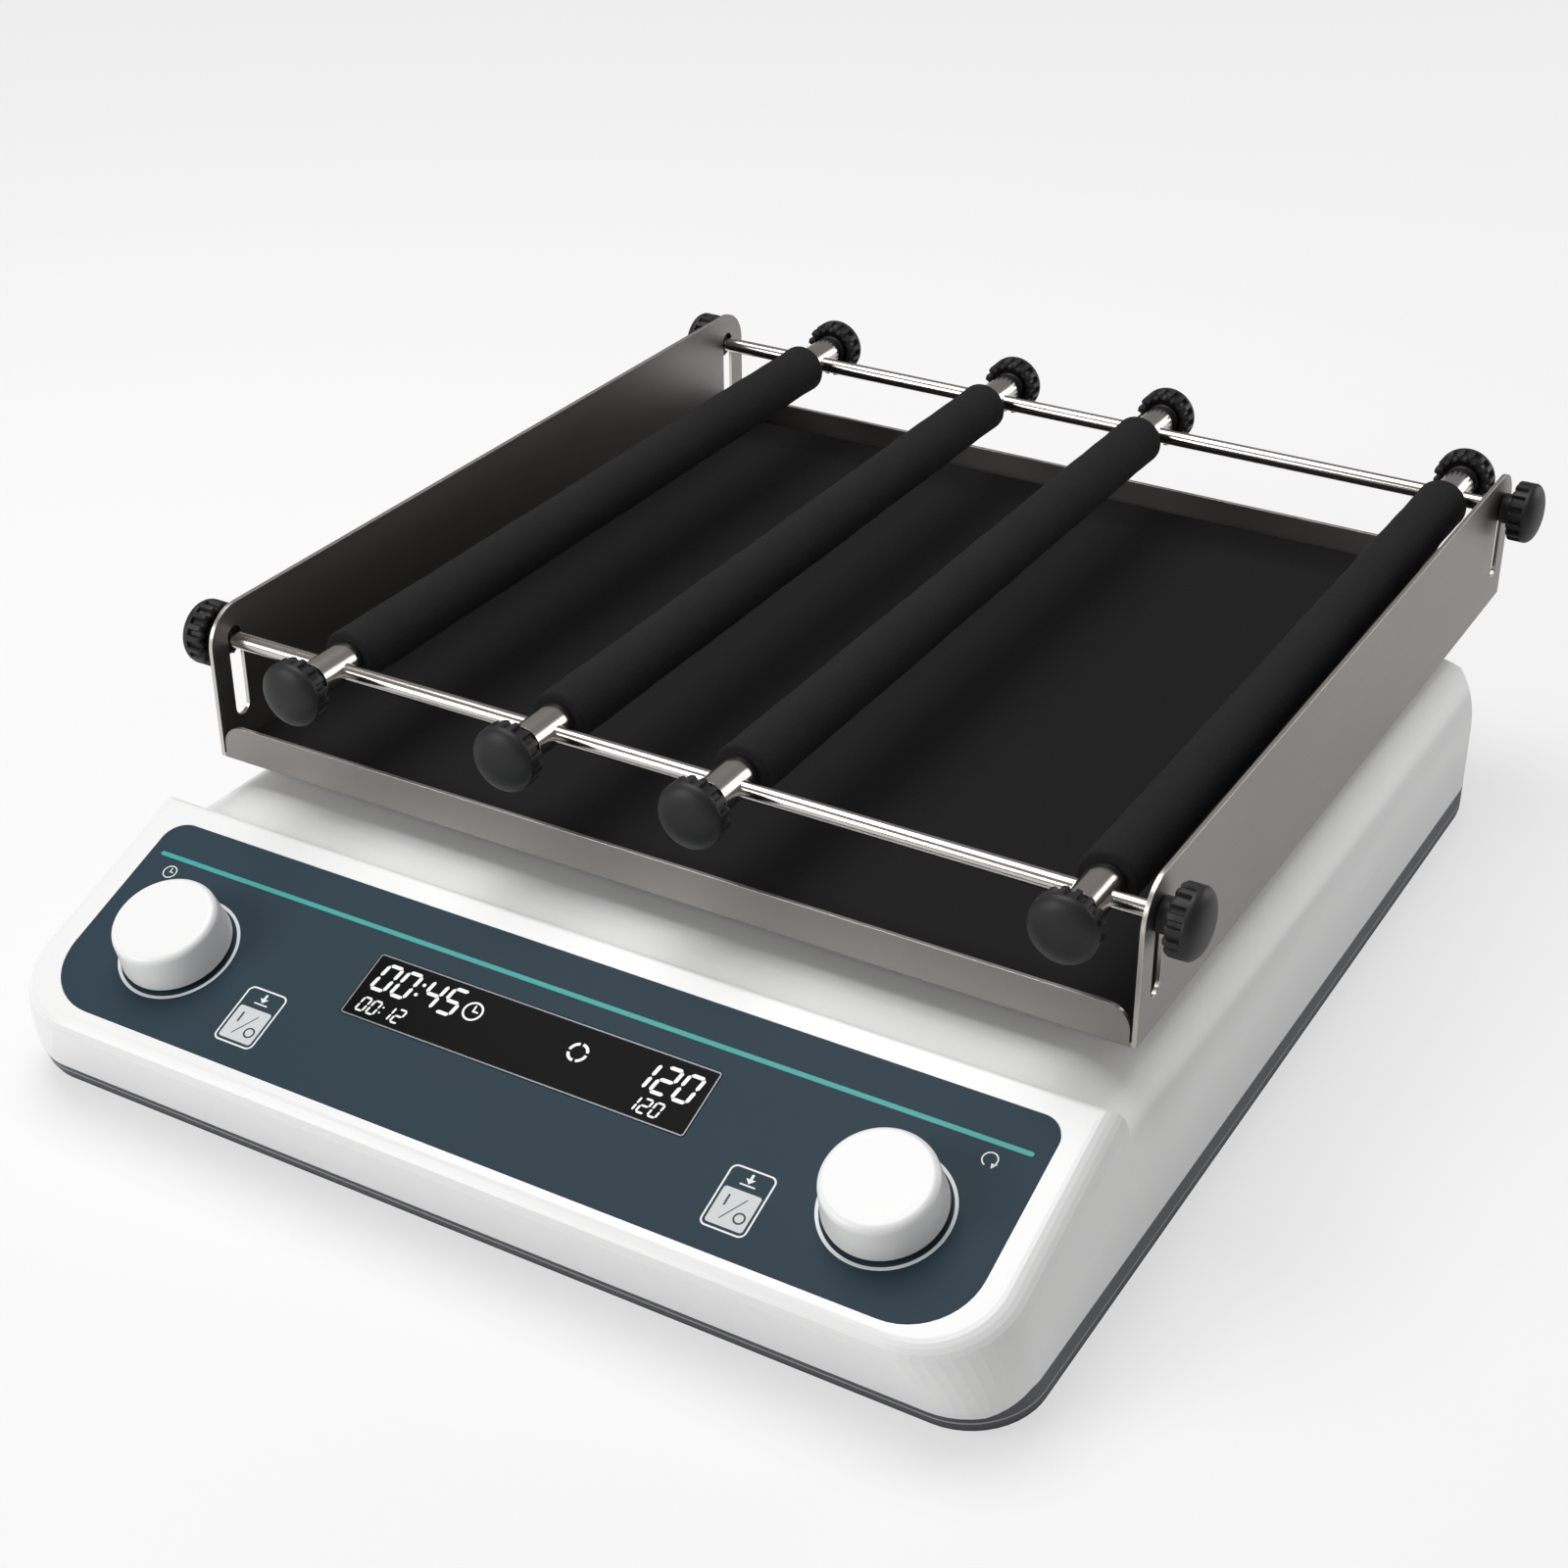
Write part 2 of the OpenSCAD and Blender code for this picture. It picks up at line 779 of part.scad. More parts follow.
module carriage_plate() {
  color("#b4b8ba") placed() difference() {
    translate([0, tray_y, carriage_z]) linear_extrude(carriage_t) {
      rounded([-carriage_w / 2, -carriage_d / 2], [carriage_w / 2, carriage_d / 2], 16);
    }
    tray_screw_places() screw_form(0);
  }
}

module bearing_cups() {
  color("#9a9ea1") placed() {
    translate([0, tray_y, cup_low]) tube(pin_brg_r + cup_wall, pin_brg_r, carriage_z - cup_low);
    translate([0, orbit_r, cup_low]) at_guides() {
      tube(guide_brg_r + guide_wall, guide_brg_r, carriage_z - cup_low);
    }
  }
}

module pin_bearings() {
  color("#c9ced2") placed() {
    translate([0, tray_y, carriage_z - pin_brg_h]) {
      tube(pin_brg_r, pin_r + run_fit, pin_brg_h);
    }
    translate([0, orbit_r, carriage_z - guide_brg_h]) at_guides() {
      tube(guide_brg_r, guide_r + run_fit, guide_brg_h);
    }
  }
}

// Side plate outline with its two upright slots, in depth and height from the tray's middle
module side_plate_outline() {
  slot_high = rod_h + 1.5;
  difference() {
    intersection() {
      rounded([-tray_d / 2, -far], [tray_d / 2, plate_h], plate_r);
      translate([-tray_d / 2, 0]) square([tray_d, far]);
    }
    for (y = rod_ys) {
      translate([y - tray_y, slot_low + slot_w / 2]) {
        circle(slot_w / 2);
        translate([0, slot_high - slot_low - slot_w / 2]) circle(slot_w / 2);
        translate([-slot_w / 2, 0]) square([slot_w, slot_high - slot_low - slot_w / 2]);
      }
    }
  }
}

module tray() {
  color("#9c9a96") placed() translate([0, tray_y, tray_z]) difference() {
    union() {
      translate([-tray_w / 2, -tray_d / 2, 0]) cube([tray_w, tray_d, sheet_t]);
      across(-tray_w / 2, -tray_w / 2 + sheet_t) side_plate_outline();
      across(tray_w / 2 - sheet_t, tray_w / 2) side_plate_outline();
      for (y = [-tray_d / 2, tray_d / 2 - sheet_t]) {
        along(y, y + sheet_t) intersection() {
          half = tray_w / 2 - sheet_t - 0.8;
          rounded([-half, -far], [half, lip_h], 8);
          translate([-half, 0]) square([2 * half, far]);
        }
      }
    }
    translate([0, -tray_y, -tray_z]) tray_screw_places() screw_form(0);
  }
}

module tray_screws() {
  color("silver") placed() tray_screw_places() screw_form(0);
}

module rubber_mat() {
  color("#1d1d1d") placed() translate([0, tray_y, floor_z]) linear_extrude(mat_t) {
    half = [tray_w / 2 - sheet_t - 1.5, tray_d / 2 - sheet_t - 1.5];
    rounded(-half, half, 3);
  }
}

module clamp_rods() {
  reach = tray_w / 2 - sheet_t - slide_gap;
  color("#cfc9c2") placed() for (y = rod_ys) {
    translate([-reach, y, rod_z]) rotate([0, 90, 0]) difference() {
      cylinder(r = rod_r, h = 2 * reach);
      for (z = [-1, 2 * reach - 14]) {
        translate([0, 0, z]) cylinder(r = screw_r + run_fit, h = 15);
      }
    }
  }
}

// Bar of one roller: a core with a cross-bored boss at each end
module roller_bar(i) {
  y0 = rod_ys[0] - boss_out;
  y1 = rod_ys[1] + boss_out;
  color("#c4beb7") placed() translate([roller_xs[i], 0, rod_z]) difference() {
    rotate([-90, 0, 0]) {
      translate([0, 0, y0]) cylinder(r = boss_r, h = boss_out + boss_in);
      translate([0, 0, y1 - boss_out - boss_in]) cylinder(r = boss_r, h = boss_out + boss_in);
      translate([0, 0, y0 + boss_out]) cylinder(r = core_r, h = y1 - y0 - 2 * boss_out);
    }
    for (y = rod_ys) {
      translate([-boss_r - 1, y, 0]) rotate([0, 90, 0]) {
        cylinder(r = rod_r + run_fit, h = 2 * boss_r + 2);
      }
    }
    for (y = [y0 - 1, y1 - boss_out + 1]) {
      translate([0, y, 0]) rotate([-90, 0, 0]) cylinder(r = screw_r + run_fit, h = boss_out);
    }
  }
}

module roller_bar_1() {
  roller_bar(0);
}

module roller_bar_2() {
  roller_bar(1);
}

module roller_bar_3() {
  roller_bar(2);
}

module roller_bar_4() {
  roller_bar(3);
}

module foam_sleeve(i) {
  y0 = rod_ys[0] + boss_in;
  color("#2b2b2c") placed() translate([roller_xs[i], y0, rod_z]) rotate([-90, 0, 0]) {
    tube(foam_r, core_r, rod_ys[1] - boss_in - y0);
  }
}

module foam_sleeve_1() {
  foam_sleeve(0);
}

module foam_sleeve_2() {
  foam_sleeve(1);
}

module foam_sleeve_3() {
  foam_sleeve(2);
}

module foam_sleeve_4() {
  foam_sleeve(3);
}

// Clamp knob: its hub stands on z = 0, its dome points up and its screw points down
module clamp_knob(screw_l) {
  core = knob_r - rib_h;
  lip = 1.2;
  translate([0, 0, -screw_l]) cylinder(r = screw_r, h = screw_l + hub_h);
  cylinder(r = knob_r - 5, h = hub_h + 1);
  translate([0, 0, hub_h]) linear_extrude(rim_h - lip) {
    circle(core);
    for (a = [0:360 / ribs:359]) {
      rotate(a) translate([core - 1, -1]) square([rib_h + 0.8, 2]);
    }
  }
  translate([0, 0, hub_h + rim_h]) rotate_extrude() {
    polygon([[0, -lip], [knob_r, -lip], [knob_r, 0], [knob_r - 1, dome_h * 0.45],
      [knob_r - 3, dome_h * 0.8], [knob_r - 6, dome_h], [0, dome_h]]);
  }
}

module rod_knob(side, y) {
  color("#262728") placed() translate([side * (tray_w / 2 + slide_gap), y, rod_z]) {
    rotate([0, side * 90, 0]) clamp_knob(sheet_t + 2 * slide_gap + 12);
  }
}

module rod_knob_front_left() {
  rod_knob(-1, rod_ys[0]);
}

module rod_knob_front_right() {
  rod_knob(1, rod_ys[0]);
}

module rod_knob_rear_left() {
  rod_knob(-1, rod_ys[1]);
}

module rod_knob_rear_right() {
  rod_knob(1, rod_ys[1]);
}

module roller_knob(i, end) {
  y = end < 0 ? rod_ys[0] - boss_out - slide_gap : rod_ys[1] + boss_out + slide_gap;
  color("#262728") placed() translate([roller_xs[i], y, rod_z]) rotate([end * -90, 0, 0]) {
    clamp_knob(boss_out - rod_r);
  }
}

module roller_knob_front_1() {
  roller_knob(0, -1);
}

module roller_knob_front_2() {
  roller_knob(1, -1);
}

module roller_knob_front_3() {
  roller_knob(2, -1);
}

module roller_knob_front_4() {
  roller_knob(3, -1);
}

module roller_knob_rear_1() {
  roller_knob(0, 1);
}

module roller_knob_rear_2() {
  roller_knob(1, 1);
}

module roller_knob_rear_3() {
  roller_knob(2, 1);
}

module roller_knob_rear_4() {
  roller_knob(3, 1);
}

// Power supply: a board on four posts with its largest components
module power_board() {
  size = [96, 62];
  at = [-boss_x + 14, 50];
  color("#2f6b45") placed() translate([at.x, at.y, plate_z]) {
    for (x = [4, size.x - 4], y = [4, size.y - 4]) {
      translate([x, y, 0]) cylinder(r = 2.5, h = 6 + eps);
    }
    translate([0, 0, 6]) cube([size.x, size.y, 1.6]);
    translate([12, 12, 7.6 - eps]) cube([26, 24, 20]);
    translate([46, 10, 7.6 - eps]) cube([40, 5, 22]);
    for (x = [52, 70]) {
      translate([x, 42, 7.6 - eps]) cylinder(r = 8, h = 20);
    }
  }
}

// Appliance inlet: a bezel outside, a socket with three pins inside the rear wall
module mains_inlet() {
  half = inlet_size / 2;
  floor_y = body_d - fitting_depth + 3;
  color("#1f1f20") placed() {
    difference() {
      union() {
        along(body_d - fitting_depth, body_d + bezel_t) {
          rounded([inlet_x - half.x, fitting_z - half.y],
            [inlet_x + half.x, fitting_z + half.y], 1.5);
        }
        along(body_d, body_d + bezel_t) {
          rounded([inlet_x - half.x - 2, fitting_z - half.y - 2],
            [inlet_x + half.x + 2, fitting_z + half.y + 2], 2.5);
        }
      }
      along(floor_y, body_d + 2 * bezel_t) {
        rounded([inlet_x - half.x + 2, fitting_z - half.y + 2],
          [inlet_x + half.x - 2, fitting_z + half.y - 2], 2);
      }
    }
    for (p = [[-7, -2], [0, 2], [7, -2]]) {
      translate([inlet_x + p.x - 1, floor_y - eps, fitting_z + p.y - 2]) cube([2, 9, 4]);
    }
  }
}

module rocker_frame() {
  half = switch_size / 2;
  opening = [half.x - 1.5, half.y - 1.6];
  color("#1f1f20") placed() difference() {
    union() {
      along(body_d - fitting_depth, body_d + bezel_t) {
        rounded([switch_x - half.x, fitting_z - half.y],
          [switch_x + half.x, fitting_z + half.y], 1.5);
      }
      along(body_d, body_d + bezel_t) {
        rounded([switch_x - half.x - 1.5, fitting_z - half.y - 1.5],
          [switch_x + half.x + 1.5, fitting_z + half.y + 1.5], 2);
      }
    }
    translate([switch_x - opening.x, body_d - fitting_depth + 2, fitting_z - opening.y]) {
      cube([2 * opening.x, far, 2 * opening.y]);
    }
    translate([switch_x - half.x, rocker_y, fitting_z]) rotate([0, 90, 0]) {
      cylinder(r = rocker_pin_r + run_fit, h = 2 * half.x);
    }
  }
}

// Rocker of the power switch, tipped to its "off" side, turning on its own side pins
module power_rocker() {
  half = switch_size / 2 - [1.5 + slide_gap, 1.6 + 0.9];
  pin = switch_size.x / 2 - 0.3;
  color("#303133") placed() translate([switch_x, rocker_y, fitting_z]) {
    rotate([rocker_tilt, 0, 0]) {
      across(-half.x, half.x) polygon([[-4, -3], [-4, 3], [1, half.y], [7.5, half.y],
        [6.2, 0], [7.5, -half.y], [1, -half.y]]);
    }
    translate([-pin, 0, 0]) rotate([0, 90, 0]) cylinder(r = rocker_pin_r, h = 2 * pin);
  }
}

housing_shell();
skirt_frame();
bottom_plate();
rubber_feet();
control_panel();
display_window();
display_module();
control_board();
encoders();
housing_screws();
chassis_plate();
drive_bearing_housing();
guide_bearing_housings();
ball_bearings();
motor_stator();
power_board();
mains_inlet();
rocker_frame();
drive_belt();
power_rocker();
drive_crank();
drive_pulley();
counterweight();
motor_rotor();
guide_crank_front_left();
guide_crank_front_right();
guide_crank_rear_left();
guide_crank_rear_right();
carriage_plate();
bearing_cups();
pin_bearings();
tray();
tray_screws();
rubber_mat();
clamp_rods();
roller_bar_1();
roller_bar_2();
roller_bar_3();
roller_bar_4();
foam_sleeve_1();
foam_sleeve_2();
foam_sleeve_3();
foam_sleeve_4();
rod_knob_front_left();
rod_knob_front_right();
rod_knob_rear_left();
rod_knob_rear_right();
roller_knob_front_1();
roller_knob_front_2();
roller_knob_front_3();
roller_knob_front_4();
roller_knob_rear_1();
roller_knob_rear_2();
roller_knob_rear_3();
roller_knob_rear_4();
time_shaft();
speed_shaft();
time_dial();
speed_dial();
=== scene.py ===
import json
import math

import bpy
from mathutils import Matrix, Vector
from mathutils.bvhtree import BVHTree


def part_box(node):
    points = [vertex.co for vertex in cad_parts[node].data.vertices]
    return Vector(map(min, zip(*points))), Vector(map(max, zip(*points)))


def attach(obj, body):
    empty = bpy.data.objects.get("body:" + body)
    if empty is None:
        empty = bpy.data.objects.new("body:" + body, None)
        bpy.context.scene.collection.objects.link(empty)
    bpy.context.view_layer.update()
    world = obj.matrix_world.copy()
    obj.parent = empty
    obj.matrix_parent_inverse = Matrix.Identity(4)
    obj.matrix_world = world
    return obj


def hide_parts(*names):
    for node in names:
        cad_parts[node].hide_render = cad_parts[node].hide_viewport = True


bl_info = {
    "name": "Orbital shaker",
    "version": (1, 0, 0),
    "blender": (4, 5, 0),
    "location": "View3D > Sidebar > Shaker",
    "description": "Finishes and fine pieces of a bench orbital shaker, around its packed model",
    "category": "Object",
}

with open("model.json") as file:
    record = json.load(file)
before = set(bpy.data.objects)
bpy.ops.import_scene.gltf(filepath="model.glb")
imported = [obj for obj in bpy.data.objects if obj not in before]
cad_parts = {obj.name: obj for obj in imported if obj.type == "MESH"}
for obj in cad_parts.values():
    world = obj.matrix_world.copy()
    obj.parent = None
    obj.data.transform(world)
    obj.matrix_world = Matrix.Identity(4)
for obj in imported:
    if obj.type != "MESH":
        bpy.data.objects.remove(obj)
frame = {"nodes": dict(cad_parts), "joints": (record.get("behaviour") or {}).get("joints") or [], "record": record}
NODES = frame["nodes"]
JOINTS = {joint["name"]: joint for joint in frame["joints"]}
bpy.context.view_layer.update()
TURN = 2 * math.pi

# The sloped panel: the directions out of it and up it, its level, and its lower and upper edge
OUT = Vector(JOINTS["time_press"]["axis"]).normalized()
UP = Vector((0, OUT.z, -OUT.y))
PANEL_POINTS = [v.co for v in NODES["control_panel"].data.vertices]
PANEL_LEVEL = max(p.dot(OUT) for p in PANEL_POINTS)
PANEL_LOW = min(p.dot(UP) for p in PANEL_POINTS)
PANEL_HIGH = max(p.dot(UP) for p in PANEL_POINTS)


# ------------------------------------------------------------------ sizes and colours

def length(name, description, default):
    return bpy.props.FloatProperty(name=name, description=description, default=default,
                                   min=0.0, precision=5, unit="LENGTH", subtype="DISTANCE")


def colour(name, description, default):
    return bpy.props.FloatVectorProperty(name=name, description=description, size=3,
                                         default=default, min=0.0, max=1.0,
                                         subtype="COLOR")


class ShakerColours(bpy.types.PropertyGroup):
    housing: colour("Housing", "Moulded upper housing", (0.87, 0.87, 0.87))
    skirt: colour("Skirt", "Dark band under the housing", (0.055, 0.065, 0.075))
    panel: colour("Panel", "Ground of the panel overlay", (0.030, 0.052, 0.070))
    line: colour("Line", "Line printed across the panel", (0.022, 0.36, 0.33))
    print_white: colour("Print", "White print on the panel", (0.83, 0.85, 0.86))
    digits: colour("Digits", "Lit segments of the display", (0.93, 0.95, 0.93))
    dial: colour("Dial", "Moulded dials", (0.88, 0.88, 0.88))
    knob: colour("Knob", "Clamp knobs", (0.018, 0.018, 0.0185))
    foam: colour("Foam", "Foam sleeves of the rollers", (0.014, 0.014, 0.0145))
    mat: colour("Mat", "Rubber mat of the tray", (0.007, 0.007, 0.0075))
    steel: colour("Steel", "Stainless sheet of the tray", (0.31, 0.297, 0.285))
    # On the tray's edges this brighter steel is a painted highlight; the rods and turned bars have it as their own
    # colour.
    bright: colour("Bright steel", "Cut edges, rods and turned bars", (0.62, 0.585, 0.55))


class ShakerDetail(bpy.types.PropertyGroup):
    print_height: length("Print height", "How far print stands proud of the panel", 0.00005)
    line_width: length("Line width", "Width of the line across the panel", 0.0017)
    line_from_top: length("Line place", "From the panel's upper edge to the line", 0.0138)
    ring_radius: length("Ring radius", "Outer radius of the ring round each dial", 0.0207)
    ring_width: length("Ring width", "Width of the ring round each dial", 0.0011)
    key_x: length("Key place", "From the middle to each printed key sign", 0.0905)
    key_s: length("Key height", "From the panel's lower edge to a key sign's middle", 0.0185)
    key_width: length("Key width", "Width of a printed key sign", 0.0155)
    key_length: length("Key length", "Height of a printed key sign", 0.022)
    digit_height: length("Digit height", "Height of the large digits", 0.0098)
    small_digit_height: length("Small digit height", "Height of the small digits", 0.0052)
    knob_ribs: bpy.props.IntProperty(name="Knob ribs", description="Ribs round a clamp knob",
                                     default=16, min=8, max=32)
    rib_depth: length("Rib depth", "Depth of the recesses round a clamp knob", 0.0015)
    foam_round: length("Foam rounding", "Rounding of the ends of a foam sleeve", 0.0014)


class ShakerStage(bpy.types.PropertyGroup):
    lens: bpy.props.FloatProperty(name="Lens", description="Focal length of the camera",
                                  default=60.30, unit="CAMERA")
    key_power: bpy.props.FloatProperty(name="Key power", description="Large lamp above",
                                       default=16.0, unit="POWER")
    fill_power: bpy.props.FloatProperty(name="Fill power", description="Lamp in front",
                                        default=13.0, unit="POWER")
    rim_power: bpy.props.FloatProperty(name="Rim power", description="Lamp at the rear",
                                       default=7.0, unit="POWER")
    world_level: bpy.props.FloatProperty(name="World level",
                                         description="Even light from all round",
                                         default=0.25, min=0.0)


# ------------------------------------------------------------------ shader expressions

class Wire:
    """A shader socket that takes part in Python expressions."""

    def __init__(self, sheet, socket):
        self.sheet = sheet
        self.socket = socket

    def _maths(self, operation, first, second=0.0):
        return self.sheet.node("ShaderNodeMath", {"operation": operation},
                               {0: first, 1: second})

    def __add__(self, other):
        return self._maths("ADD", self, other)

    def __radd__(self, other):
        return self._maths("ADD", other, self)

    def __sub__(self, other):
        return self._maths("SUBTRACT", self, other)

    def __rsub__(self, other):
        return self._maths("SUBTRACT", other, self)

    def __mul__(self, other):
        return self._maths("MULTIPLY", self, other)

    def __rmul__(self, other):
        return self._maths("MULTIPLY", other, self)

    def __pow__(self, other):
        return self._maths("POWER", self, other)

    def __gt__(self, other):
        return self._maths("GREATER_THAN", self, other)

    def __lt__(self, other):
        return self._maths("LESS_THAN", self, other)

    def __abs__(self):
        return self._maths("ABSOLUTE", self)


class Sheet:
    """A material under construction: nodes by one method, ending in one shader."""

    def __init__(self, name):
        self.material = bpy.data.materials.new(name)
        self.material.use_nodes = True
        self.tree = self.material.node_tree
        self.tree.nodes.clear()
        self.place = None

    def node(self, kind, settings=None, sockets=None, output=0):
        made = self.tree.nodes.new(kind)
        for key, value in (settings or {}).items():
            if key == "stops":
                ramp = made.color_ramp.elements
                while len(ramp) < len(value):
                    ramp.new(0.5)
                for element, (position, shade) in zip(ramp, value):
                    element.position = position
                    element.color = shade
            else:
                setattr(made, key, value)
        for key, value in (sockets or {}).items():
            if isinstance(value, Wire):
                self.tree.links.new(value.socket, made.inputs[key])
            else:
                made.inputs[key].default_value = value
        return Wire(self, made.outputs[output])

    def coords(self, scale=(1, 1, 1)):
        if self.place is None:
            self.place = self.node("ShaderNodeTexCoord", output=3)
        return self.node("ShaderNodeMapping", {}, {0: self.place, 3: scale})

    def axes(self):
        """The three coordinates of a point as numbers."""
        split = self.node("ShaderNodeSeparateXYZ", {}, {0: self.coords()})
        outputs = split.socket.node.outputs
        return [Wire(self, outputs[i]) for i in range(3)]

    def noise(self, scale, detail=3.0, roughness=0.55, stretch=(1, 1, 1)):
        return self.node("ShaderNodeTexNoise", {},
                         {0: self.coords(stretch), 2: scale, 3: detail, 4: roughness})

    def ramp(self, value, low, high):
        """0 at or below low, 1 at or above high."""
        return self.node("ShaderNodeMapRange", {"clamp": True},
                         {0: value, 1: low, 2: high, 3: 0.0, 4: 1.0})

    def tint(self, factor, first, second):
        sockets = {0: factor, 6: first, 7: second}
        for key in (6, 7):
            if not isinstance(sockets[key], Wire):
                sockets[key] = (*sockets[key][:3], 1.0)
        return self.node("ShaderNodeMix", {"data_type": "RGBA"}, sockets, output=2)

    def relief(self, height, distance, strength=1.0, edge=0.0):
        """A normal from a height, over edges that look rounded by the given radius."""
        sockets = {"Strength": strength, "Distance": distance, "Height": height}
        if edge:
            sockets["Normal"] = self.node("ShaderNodeBevel", {"samples": 4}, {0: edge})
        return self.node("ShaderNodeBump", {}, sockets)

    def surface(self, **sockets):
        words = {key.replace("_", " "): value for key, value in sockets.items()}
        if isinstance(words.get("Base Color"), tuple):
            words["Base Color"] = (*words["Base Color"][:3], 1.0)
        shader = self.node("ShaderNodeBsdfPrincipled", {}, words)
        output = self.tree.nodes.new("ShaderNodeOutputMaterial")
        self.tree.links.new(shader.socket, output.inputs[0])
        return self.material


def lighter(shade, amount):
    return tuple(min(1.0, c * amount) for c in shade)


def moulding(name, shade, roughness, grain=0.00003, grain_scale=2600.0, edge=0.0004,
             coat=0.0, shine=0.5, worn=0.06, mottle=0.03):
    """Injection-moulded plastic: faint mottling, a fine texture and handled patches."""
    sheet = Sheet(name)
    cloud = sheet.noise(9.0, 1.0)
    fine = sheet.noise(grain_scale, 2.0, 0.6)
    wear = sheet.noise(30.0, 2.0)
    return sheet.surface(
        Base_Color=sheet.tint(cloud, lighter(shade, 1 - mottle), lighter(shade, 1 + mottle / 2)),
        Roughness=roughness - worn / 2 + wear * worn,
        Normal=sheet.relief(fine, grain, 0.6, edge),
        Coat_Weight=coat, Coat_Roughness=0.12, Specular_IOR_Level=shine)


def skirt_moulding(name, shade, line_shade):
    """Satin plastic with a light joint line a little above the lower edge."""
    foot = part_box("skirt_frame")[0].z
    line_low, line_high = 0.0020, 0.0028
    sheet = Sheet(name)
    z = sheet.axes()[2]
    cloud = sheet.noise(14.0, 4.0)
    fine = sheet.noise(1900.0, 2.0, 0.6)
    joint = (z > foot + line_low) * (z < foot + line_high)
    worn = sheet.tint(cloud, lighter(shade, 0.92), lighter(shade, 1.06))
    return sheet.surface(
        Base_Color=sheet.tint(joint, worn, line_shade),
        Roughness=0.4 + cloud * 0.06,
        Normal=sheet.relief(fine - joint * 2.0, 0.00003, 0.6, 0.0004),
        Specular_IOR_Level=0.4)


def rubbery(name, shade, roughness=0.75, grain=0.00012, grain_scale=1400.0, edge=0.0003):
    """Matt rubber or foam: open grain, dusty high spots."""
    sheet = Sheet(name)
    grains = sheet.node("ShaderNodeTexVoronoi", {"feature": "F1"},
                        {0: sheet.coords(), 2: grain_scale})
    soft = sheet.noise(grain_scale * 0.35, 4.0, 0.6)
    dust = sheet.ramp(sheet.noise(60.0, 6.0, 0.7), 0.45, 0.8)
    return sheet.surface(
        Base_Color=sheet.tint(dust * 0.5, shade, lighter(shade, 1.7)),
        Roughness=roughness + dust * 0.1,
        Normal=sheet.relief(grains * 0.5 + soft, grain, 0.7, edge),
        Specular_IOR_Level=0.16)


def turned(name, shade, roughness, stretch=(1, 1, 1), edge=0.00025, marks=0.000012):
    """Machined or drawn metal: fine marks along one direction, faint stains."""
    sheet = Sheet(name)
    lines = sheet.noise(900.0, 3.0, 0.7, stretch)
    stain = sheet.noise(22.0, 5.0, 0.6)
    return sheet.surface(
        Base_Color=sheet.tint(stain, lighter(shade, 0.9), lighter(shade, 1.06)),
        Metallic=1.0,
        Roughness=roughness - 0.05 + lines * 0.1,
        Normal=sheet.relief(lines, marks, 0.5, edge))


def coated(name, shade, roughness=0.45, metal=0.0, speckle=0.00004):
    """Painted or plated sheet: orange-peel relief and small shade changes."""
    sheet = Sheet(name)
    peel = sheet.noise(520.0, 2.0, 0.5)
    patch = sheet.noise(30.0, 4.0, 0.6)
    return sheet.surface(
        Base_Color=sheet.tint(patch, lighter(shade, 0.92), lighter(shade, 1.06)),
        Metallic=metal,
        Roughness=roughness - 0.05 + patch * 0.1,
        Normal=sheet.relief(peel, speckle, 0.5, 0.0003))


def tray_steel(name, sheet_shade, edge_highlight_shade):
    """Brushed stainless sheet, rolled from front to back; its cut edges carry a painted highlight in a brighter
    steel colour, and a smoother finish.
    """
    low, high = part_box("tray")
    plate_depth, lip_foot = 0.0017, 0.006
    sheet = Sheet(name)
    x, _, z = sheet.axes()
    brushed = sheet.noise(60.0, 4.0, 0.75, (26.0, 0.5, 26.0))
    cloud = sheet.noise(9.0, 4.0, 0.5)
    direction = sheet.node("ShaderNodeSeparateXYZ", {},
                           {0: sheet.node("ShaderNodeNewGeometry", output=3)})
    across = abs(Wire(sheet, direction.socket.node.outputs[0]))
    upward = Wire(sheet, direction.socket.node.outputs[2])
    plate = abs(x) > high.x - plate_depth
    lip_edge = (upward > 0.5) * (z > low.z + lip_foot)
    # Edge faces of the side plates and upward faces of the lips: painted highlight, a brighter steel colour
    # standing in for light caught on the edges, and a smoother finish there.
    cut_edge_highlight = sheet.node("ShaderNodeMath", {"operation": "MAXIMUM"},
                     {0: plate * (across < 0.6), 1: lip_edge})
    return sheet.surface(
        Base_Color=sheet.tint(cut_edge_highlight, sheet.tint(cloud, lighter(sheet_shade, 0.86),
                                              lighter(sheet_shade, 1.1)), edge_highlight_shade),
        Metallic=1.0,
        Roughness=0.38 + brushed * 0.12 - cut_edge_highlight * 0.14,
        Normal=sheet.relief(brushed, 0.00003, 0.35, 0.0004))


def glowing(name, shade, level):
    """Lit print behind the display window, a little uneven like a real segment."""
    sheet = Sheet(name)
    spread = sheet.noise(240.0, 2.0)
    lit = sheet.tint(spread, lighter(shade, 0.9), shade)
    return sheet.surface(Base_Color=(0.02, 0.02, 0.02), Roughness=0.25,
                         Emission_Color=lit, Emission_Strength=level)


# ------------------------------------------------------------------ shapes

def circle(radius, count, centre=(0.0, 0.0), start=0.0):
    return [(centre[0] + radius * math.cos(start + TURN * i / count),
             centre[1] + radius * math.sin(start + TURN * i / count))
            for i in range(count)]


def round_rect(width, height, radius, centre=(0.0, 0.0), steps=8):
    points = []
    for quarter, (sx, sy) in enumerate(((1, 1), (-1, 1), (-1, -1), (1, -1))):
        cx = centre[0] + sx * (width / 2 - radius)
        cy = centre[1] + sy * (height / 2 - radius)
        for step in range(steps + 1):
            angle = (quarter + step / steps) * math.pi / 2
            points.append((cx + radius * math.cos(angle), cy + radius * math.sin(angle)))
    return points


